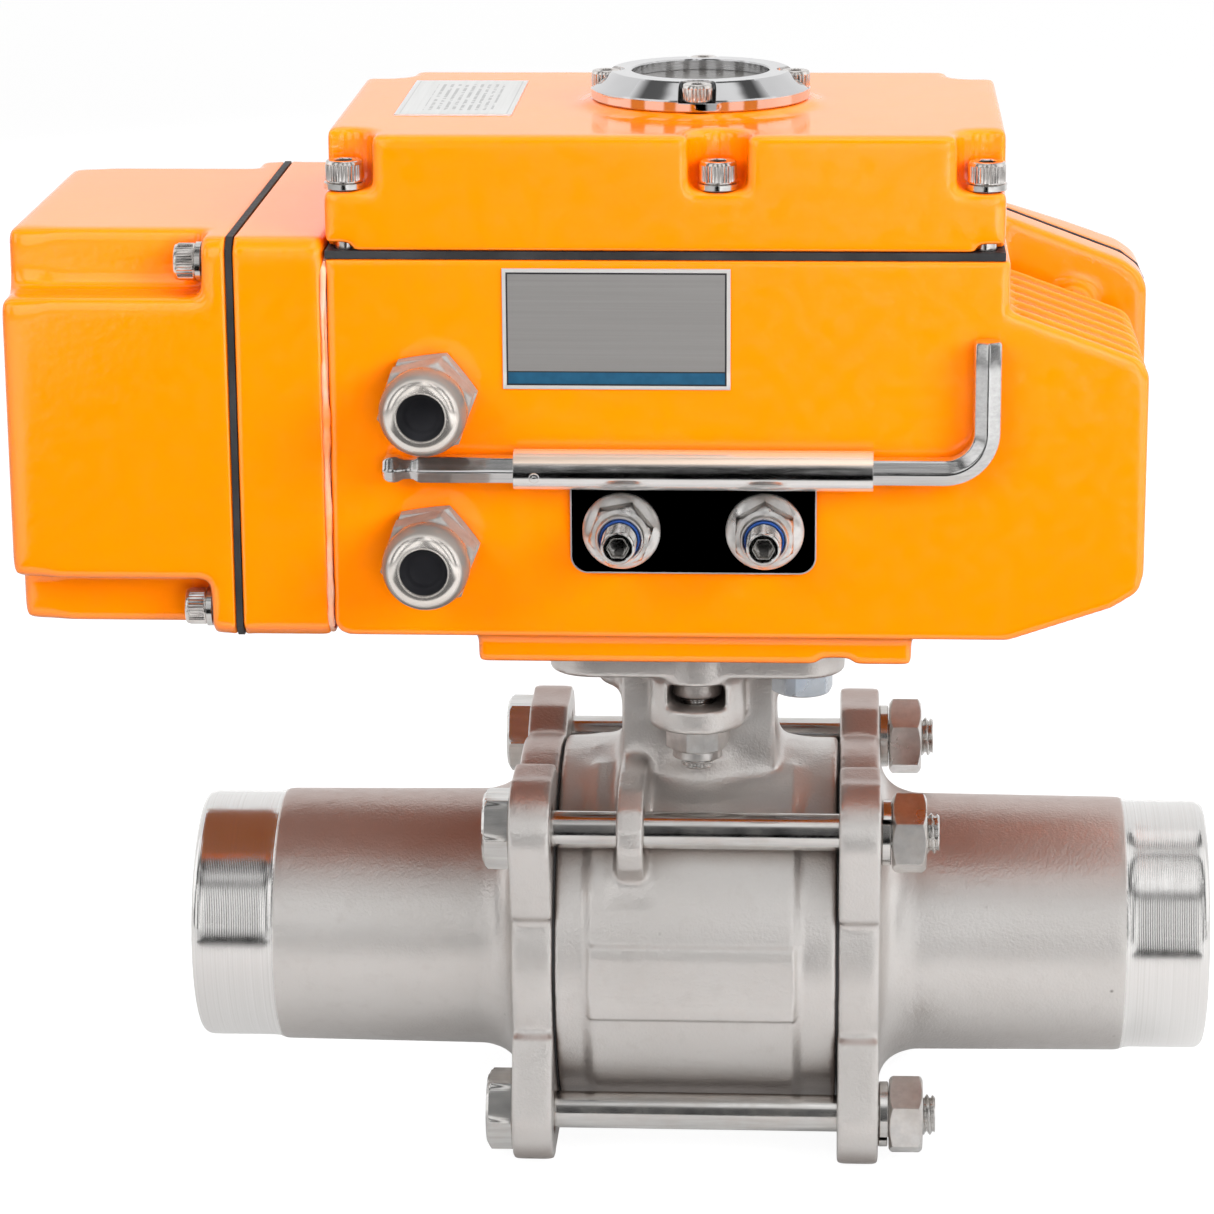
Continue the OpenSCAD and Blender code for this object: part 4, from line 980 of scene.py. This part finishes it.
def gland_cap(at):
    """Hexagon cap nut with a domed nose, pointing to the front."""
    count = 120
    rings = [ring(6.3, 5.5, count)]
    # distance along the axis, corner limit; the apothem is 9.6
    rings += [hex_ring(9.6, limit, w, count) for w, limit in (
        (5.5, 10.25), (6.0, 11.3), (12.3, 11.3), (13.1, 10.5), (13.6, 9.95))]
    rings.append(ring(9.92, 14.0, count))
    for i in range(15):
        p = math.radians(6.2 * i)
        rings.append(ring(5.95 + 3.97 * math.cos(p), 16.2 + 5.75 * math.sin(p), count))
    # lip and bore: radius, distance along the axis
    rings += [ring(r, w, count) for r, w in (
        (5.72, 21.98), (5.60, 22.12), (5.46, 22.08), (5.40, 21.9), (5.40, 21.2),
        (6.05, 21.05), (6.05, 15))]
    return ring_mesh("cap", place(turned(rings, 13), "-y", at), start_cap=False, end_cap=False)


# thin membrane of the seal: radius, distance along the axis
MEMBRANE = ((6.04, 20.9), (5.7, 21.1), (5.2, 20.8), (4.6, 20.1), (3.9, 19.8), (3.5, 19.95),
            (3.1, 19.8), (1.6, 19.7), (0.3, 19.68))


def membrane(at):
    rings = [ring(r, w, 64) for r, w in MEMBRANE]
    return ring_mesh("membrane", place(rings, "-y", at), start_cap=False)


caps = [gland_cap(at) for at in GLAND_PLACES]
membranes = [membrane(at) for at in GLAND_PLACES]
add_part("domed_gland_caps", join("domed_gland_caps", caps), "nickel_brass",
         "gland_cap_nuts", sharp=30)
gland_rubber = rubber("gland_rubber", base=(0.004, 0.004, 0.005), rough=0.42, specular=0.2)
add_part("gland_membranes", join("gland_membranes", membranes), "black_rubber",
         material=gland_rubber, sharp=60)


# ------------------------------------------------------------------ stop screw lock nuts
def lock_nut(side):
    """Flange nut: flange, hexagon, then a collar turned in towards its bore."""
    rings = [ring(r, w, FINE) for r, w in (
        (4.05, 0.0), (8.6, 0.0), (8.93, 0.3), (8.93, 0.85), (8.7, 1.15), (7.9, 1.75))]
    rings += [hex_ring(6.5, limit, w, FINE) for limit, w in (
        (7.55, 2.25), (7.5, 2.5), (7.45, 5.5), (7.0, 6.2), (6.5, 6.75))]
    rings += [ring(r, w, FINE) for r, w in (
        (5.9, 6.95), (5.55, 7.1), (5.5, 8.5), (5.3, 8.9), (5.0, 9.05), (4.8, 8.9), (4.74, 7.9),
        (4.05, 7.9), (4.05, 0.0))]
    rings = place(turned(rings, side * 10 + 20), "-y", (STOP_X * side, -51.44, STOP_Z))
    return ring_mesh("nut", rings, start_cap=False, end_cap=False)


nuts = [lock_nut(side) for side in (-1, 1)]
add_part("flange_lock_nuts", join("flange_lock_nuts", nuts), "bright_stainless",
         "stop_lock_nuts", SATIN_NUT, sharp=30)

# blue ring inside each nut's collar: radius, distance to the front of the pipe axis
NYLON = ((4.0, 59.2), (4.0, 60.42), (4.15, 60.58), (4.40, 60.58), (4.55, 60.42), (4.55, 59.2))
nylon = []
for side in (-1, 1):
    rings = place([ring(r, w, 48) for r, w in NYLON], "-y", (STOP_X * side, 0, STOP_Z))
    nylon.append(ring_mesh("nylon", rings, start_cap=False, end_cap=False))
add_part("nylon_rings", join("nylon_rings", nylon), "switch_plastic",
         material=plastic("nylon_blue", base=(0.008, 0.045, 0.20), rough=0.35), sharp=40)


# ------------------------------------------------------------------ hexagon key
def hex_key():
    """One swept bar: ball end at the left, long arm along X, bend, short arm up."""
    arm_x, bend_r, apothem = 66.1, 9.5, 3.0
    # ball end and long arm: x, apothem, rounding (0 hexagon, 1 circle)
    long_arm = (
        (-70.24, 1.75, 0.0), (-70.05, 2.25, 0.0), (-69.5, 2.70, 0.0), (-68.7, 2.96, 0.0),
        (-67.4, 3.0, 0.0), (-66.7, 2.86, 0.0), (-66.0, 2.52, 0.1), (-65.3, 2.30, 0.2),
        (-63.9, 2.28, 0.2), (-63.1, 2.48, 0.1), (-62.4, 2.82, 0.0), (-61.7, 3.0, 0.0),
        (-20, 3, 0), (20, 3, 0), (50, 3, 0))
    # short arm: z, apothem, rounding
    short_arm = ((150, 3.0, 0), (156.3, 3.0, 0), (156.75, 2.85, 0.2), (157, 2.55, 0.4))
    # centre (x, z), section's up direction (x, z), apothem, rounding
    stations = [((x, KEY_Z), (0, 1), size, rounding) for x, size, rounding in long_arm]
    for i in range(17):
        a = math.pi / 2 * i / 16
        centre = (arm_x - bend_r + bend_r * math.sin(a), KEY_Z + bend_r - bend_r * math.cos(a))
        stations.append((centre, (-math.sin(a), math.cos(a)), apothem, 0))
    stations += [((arm_x, z), (-1, 0), size, rounding) for z, size, rounding in short_arm]

    rings = []
    for (cx, cz), (up_x, up_z), size, rounding in stations:
        def radius(t):
            broken_corner = min(hex_radius(t, size), size * 1.118)
            return broken_corner * (1 - rounding) + size * rounding
        rings.append([(cx + up_x * v, KEY_Y + u, cz + up_z * v)
                      for u, v, _ in ring(radius, 0, 72)])
    return ring_mesh("bent_hex_key", rings)


add_part("bent_hex_key", hex_key(), "key_steel", "hex_key", body="key", sharp=24)


def crimp_mark():
    """Round dent with a raised centre on the front of the holder tube."""
    tube_r, tilt, mark_x = 4.6, math.radians(-13), -35.6
    c, s = math.cos(tilt), math.sin(tilt)
    y0, z0 = KEY_Y - tube_r * c, KEY_Z + tube_r * s
    # radius, height above the tube
    profile = ((1.25, -0.25), (1.2, 0.02), (1.05, 0.16), (0.85, 0.12), (0.6, 0.22),
               (0.3, 0.34), (0.05, 0.37))
    rings = [[(mark_x + u, y0 - w * c + v * s, z0 + w * s + v * c)
              for u, v, w in ring(r, height, 32)] for r, height in profile]
    return ring_mesh("crimp_mark", rings, start_cap=False)


add_part("crimp_mark", crimp_mark(), "polished_plate", sharp=60)


# ------------------------------------------------------------------ sealant
def round_rect(y0, y1, z0, z1, r, spacing=1.6):
    """Rounded rectangle in (y, z), with its long sides divided."""
    corners = []
    for cy, cz, start in ((y1 - r, z1 - r, 0), (y0 + r, z1 - r, 90),
                          (y0 + r, z0 + r, 180), (y1 - r, z0 + r, 270)):
        for k in range(9):
            a = math.radians(start + 90 * k / 8)
            corners.append((cy + r * math.cos(a), cz + r * math.sin(a)))
    points = []
    for i, p in enumerate(corners):
        q = corners[(i + 1) % len(corners)]
        parts = max(1, int(math.dist(p, q) / spacing))
        points += [(p[0] + (q[0] - p[0]) * k / parts, p[1] + (q[1] - p[1]) * k / parts)
                   for k in range(parts)]
    return points


def sealant_bead():
    """Uneven bead squeezed out round the housing's left face."""
    bead_x = -83.55
    path = round_rect(-49.75, 49.75, 86.1, 173.9, 5.0)
    rings = []
    for i, (y, z) in enumerate(path):
        before, after = path[i - 1], path[(i + 1) % len(path)]
        tangent = Vector((after[0] - before[0], after[1] - before[1])).normalized()
        side = Vector((tangent[1], -tangent[0]))
        slow = mnoise.noise(Vector((y * 0.09, z * 0.09, 3.0)))
        quick = mnoise.noise(Vector((y * 0.35, z * 0.35, 9.0)))
        half_x = 0.62 + 0.40 * slow + 0.30 * quick
        half_side = 0.42 + 0.28 * quick + 0.20 * slow
        points = []
        for k in range(10):
            a = 2 * math.pi * k / 10
            off = half_side * math.sin(a)
            points.append((bead_x + half_x * math.cos(a) + 0.3 * slow,
                           y + side[0] * off, z + side[1] * off))
        rings.append(points)
    rings.append(rings[0])
    return ring_mesh("sealant_bead", rings, start_cap=False, end_cap=False)


add_part("sealant_bead", sealant_bead(), "white_sealant")

# shading of the CAD nodes that still show
for part in NODES.values():
    if not part.hide_render:
        part.data.shade_smooth()
        part.data.set_sharp_from_angle(angle=math.radians(28))


# ------------------------------------------------------------------ floor
def floor_material():
    """White to the camera; reflections see a pale sheet, a dark room in front, a lit rear."""
    m = Mat("pale_floor", base=(0.86, 0.86, 0.86), rough=0.6)
    camera_ray, glossy_ray = m.rays()
    cloud = m.noise(scale=3).fade(to=(0.985, 1.0))
    x, y, _ = m.position()
    lane = (x.fade(over=(-0.42, -0.30), smooth=True)
            * x.fade(over=(0.30, 0.18), smooth=True))
    dark = y.fade(over=(-0.235, -0.275), smooth=True) * lane
    sheet = 1.0 - dark
    tone = m.mix_value(glossy_ray, 0.13, sheet * 0.40) * cloud
    grey = m.build("ShaderNodeCombineColor", {0: tone, 1: tone, 2: tone})
    rear = y.fade(over=(0.35, 0.95), to=(0.16, 0.72), smooth=True)
    glow = glossy_ray * (rear * sheet)
    m.set(Base_Color=grey, Specular_IOR_Level=0.0, Emission_Color=(1, 1, 1),
          Emission_Strength=camera_ray * 0.93 + glow)
    return m.material


def floor():
    """Flat floor that curves up into a wall behind the valve."""
    floor_z, half_width, flat_end, cove_r, wall_top = -0.0476, 6, 1.6, 0.9, 5
    profile = [(-6, 0.0), (flat_end, 0.0)]       # y, height
    for i in range(1, 13):
        a = math.pi / 2 * i / 12
        profile.append((flat_end + cove_r * math.sin(a), cove_r - cove_r * math.cos(a)))
    profile.append((flat_end + cove_r, wall_top))
    bm = bmesh.new()
    left, right = [[bm.verts.new((x, y, z + floor_z)) for y, z in profile]
                   for x in (-half_width, half_width)]
    for i in range(len(profile) - 1):
        bm.faces.new((left[i], right[i], right[i + 1], left[i + 1]))
    mesh = bpy.data.meshes.new("sweep")
    bm.to_mesh(mesh)
    bm.free()
    sweep = bpy.data.objects.new("sweep", mesh)
    COLLECTION.objects.link(sweep)
    mesh.shade_smooth()
    mesh.materials.append(floor_material())


floor()

# ------------------------------------------------------------------ lights
LIGHT_TARGET = Vector((0, 0, 0.08))
# name, place, side of the square, power in watts
for name, at, size, power in (
    ("key", (-0.75, -1.05, 0.80), 0.8, 12.0),
    ("fill", (1.05, -0.95, 0.70), 0.8, 25.0),
    ("front", (0.25, -1.5, 0.15), 0.7, 18.0),
    ("top", (0.1, 0.0, 1.3), 1.0, 8.5),
    ("rim", (0.7, 0.8, 0.9), 0.8, 11),
    ("rear", (-0.75, 1.0, 0.55), 0.8, 12),
):
    light = bpy.data.lights.new(name, "AREA")
    light.shape = "RECTANGLE"
    light.size = light.size_y = size
    light.energy = power
    lamp = bpy.data.objects.new(name, light)
    COLLECTION.objects.link(lamp)
    lamp.location = at
    lamp.rotation_euler = (LIGHT_TARGET - Vector(at)).to_track_quat("-Z", "Y").to_euler()
    lamp.visible_glossy = False


# ------------------------------------------------------------------ world
# brightness up the sky, (height, brightness), height being the ray's z
SIDE_BOXES = [(0.0, 1.05), (0.45, 1.05), (0.64, 0.95), (0.67, 0.25), (0.74, 0.25),
              (0.78, 1.2), (0.95, 1.2), (1.0, 0.9)]
DARK_CENTRE = [(0.0, 0.02), (0.50, 0.03), (0.66, 0.10), (0.86, 1.35), (0.95, 1.35), (1.0, 0.9)]
REAR_SKY = [(0.0, 1.2), (0.45, 1.15), (1.0, 0.9)]
# brightness round the sky, (turn, brightness), 0.5 being straight to the front
CENTRE_MASK = [(0.0, 0.0), (0.474, 0.0), (0.480, 1.0), (0.511, 1.0), (0.516, 0.0), (1.0, 0.0)]
SIDE_BARS = [(0.0, 1.0), (0.285, 1.0), (0.29, 0.08), (0.335, 0.08), (0.34, 1.0), (0.395, 1.0),
             (0.40, 0.10), (0.43, 0.10), (0.435, 1.0), (0.555, 1.0), (0.56, 0.12),
             (0.585, 0.12), (0.59, 1.0), (0.63, 1.0), (0.635, 0.08), (0.675, 0.08),
             (0.68, 1.0), (1.0, 1.0)]
OVERHEAD = [(0.0, 1.0), (0.09, 1.0), (0.10, 0.12), (0.19, 0.12), (0.20, 0.9), (0.30, 0.9),
            (0.31, 0.35), (0.36, 0.10), (0.47, 0.14), (0.50, 0.9), (0.63, 0.95), (0.64, 0.12),
            (0.70, 0.12), (0.71, 0.9), (0.82, 0.9), (0.83, 0.10), (0.90, 0.10), (0.91, 1.0),
            (1.0, 1.0)]


def build_world():
    """White to the camera, dim to diffuse rays, a room of soft boxes to reflections."""
    world = bpy.data.worlds.new("studio")
    bpy.context.scene.world = world
    world.use_nodes = True
    g = Graph(world.node_tree)
    camera_ray, glossy_ray = g.rays()
    x, y, z = g.separate(g.build("ShaderNodeTexCoord", output="Generated"))
    boxes = g.ramp(z, SIDE_BOXES)
    centre = g.ramp(z, DARK_CENTRE)
    rear = g.ramp(z, REAR_SKY)
    turn = g.math("ARCTAN2", x, y * -1.0) * (1 / (2 * math.pi)) + 0.5
    mask = g.ramp(turn, CENTRE_MASK)
    bars = g.ramp(turn, SIDE_BARS)
    front = g.mix(mask, g.mix(1.0, boxes, bars, blend_type="MULTIPLY"), centre)
    rearward = g.math("MULTIPLY_ADD", y, 2.0, 0.5, clamp=True)
    room = g.mix(rearward, front, rear)
    overhead = g.ramp(turn, OVERHEAD)
    high = z.fade(over=(0.74, 0.84))
    plain = g.ramp(turn, [(0.0, 1.0), (1.0, 1.0)])
    overhead = g.mix(high, plain, overhead)
    room = g.mix(1.0, room, overhead, blend_type="MULTIPLY")

    def background(colour, strength):
        return g.build("ShaderNodeBackground", {0: colour, 1: strength})

    reflected = background(room, strength=1.0)
    ambient = background((1, 1, 1), strength=0.20)
    backdrop = background((1, 1, 1), strength=1.0)
    lit = g.build("ShaderNodeMixShader", {0: glossy_ray, 1: ambient, 2: reflected})
    seen = g.build("ShaderNodeMixShader", {0: camera_ray, 1: lit, 2: backdrop})
    g.node("ShaderNodeOutputWorld", {0: seen})


build_world()
bpy.context.scene.view_settings.view_transform = "Standard"


# ------------------------------------------------------------------ camera
def add_camera():
    """Looks to the rear and down by `pitch`, turned by `yaw` and rolled slightly."""
    yaw, pitch, roll = 0.0578037888, 0.272916896, -0.00708662964
    at = (0.0329111922, -0.961563573, 0.348937208)
    forward = Vector((-math.sin(yaw) * math.cos(pitch), math.cos(yaw) * math.cos(pitch),
                      -math.sin(pitch)))
    level = Vector((math.cos(yaw), math.sin(yaw), 0))
    upright = level.cross(forward)
    right = math.cos(roll) * level + math.sin(roll) * upright
    up = -math.sin(roll) * level + math.cos(roll) * upright
    camera = bpy.data.objects.new("camera", bpy.data.cameras.new("camera"))
    COLLECTION.objects.link(camera)
    rows = [(right[i], up[i], -forward[i], at[i]) for i in range(3)]
    camera.matrix_world = Matrix((*rows, (0, 0, 0, 1)))
    camera.data.sensor_width = 36
    camera.data.lens = 122.662816
    camera.data.clip_start = 0.05
    camera.data.clip_end = 50
    bpy.context.scene.camera = camera


add_camera()
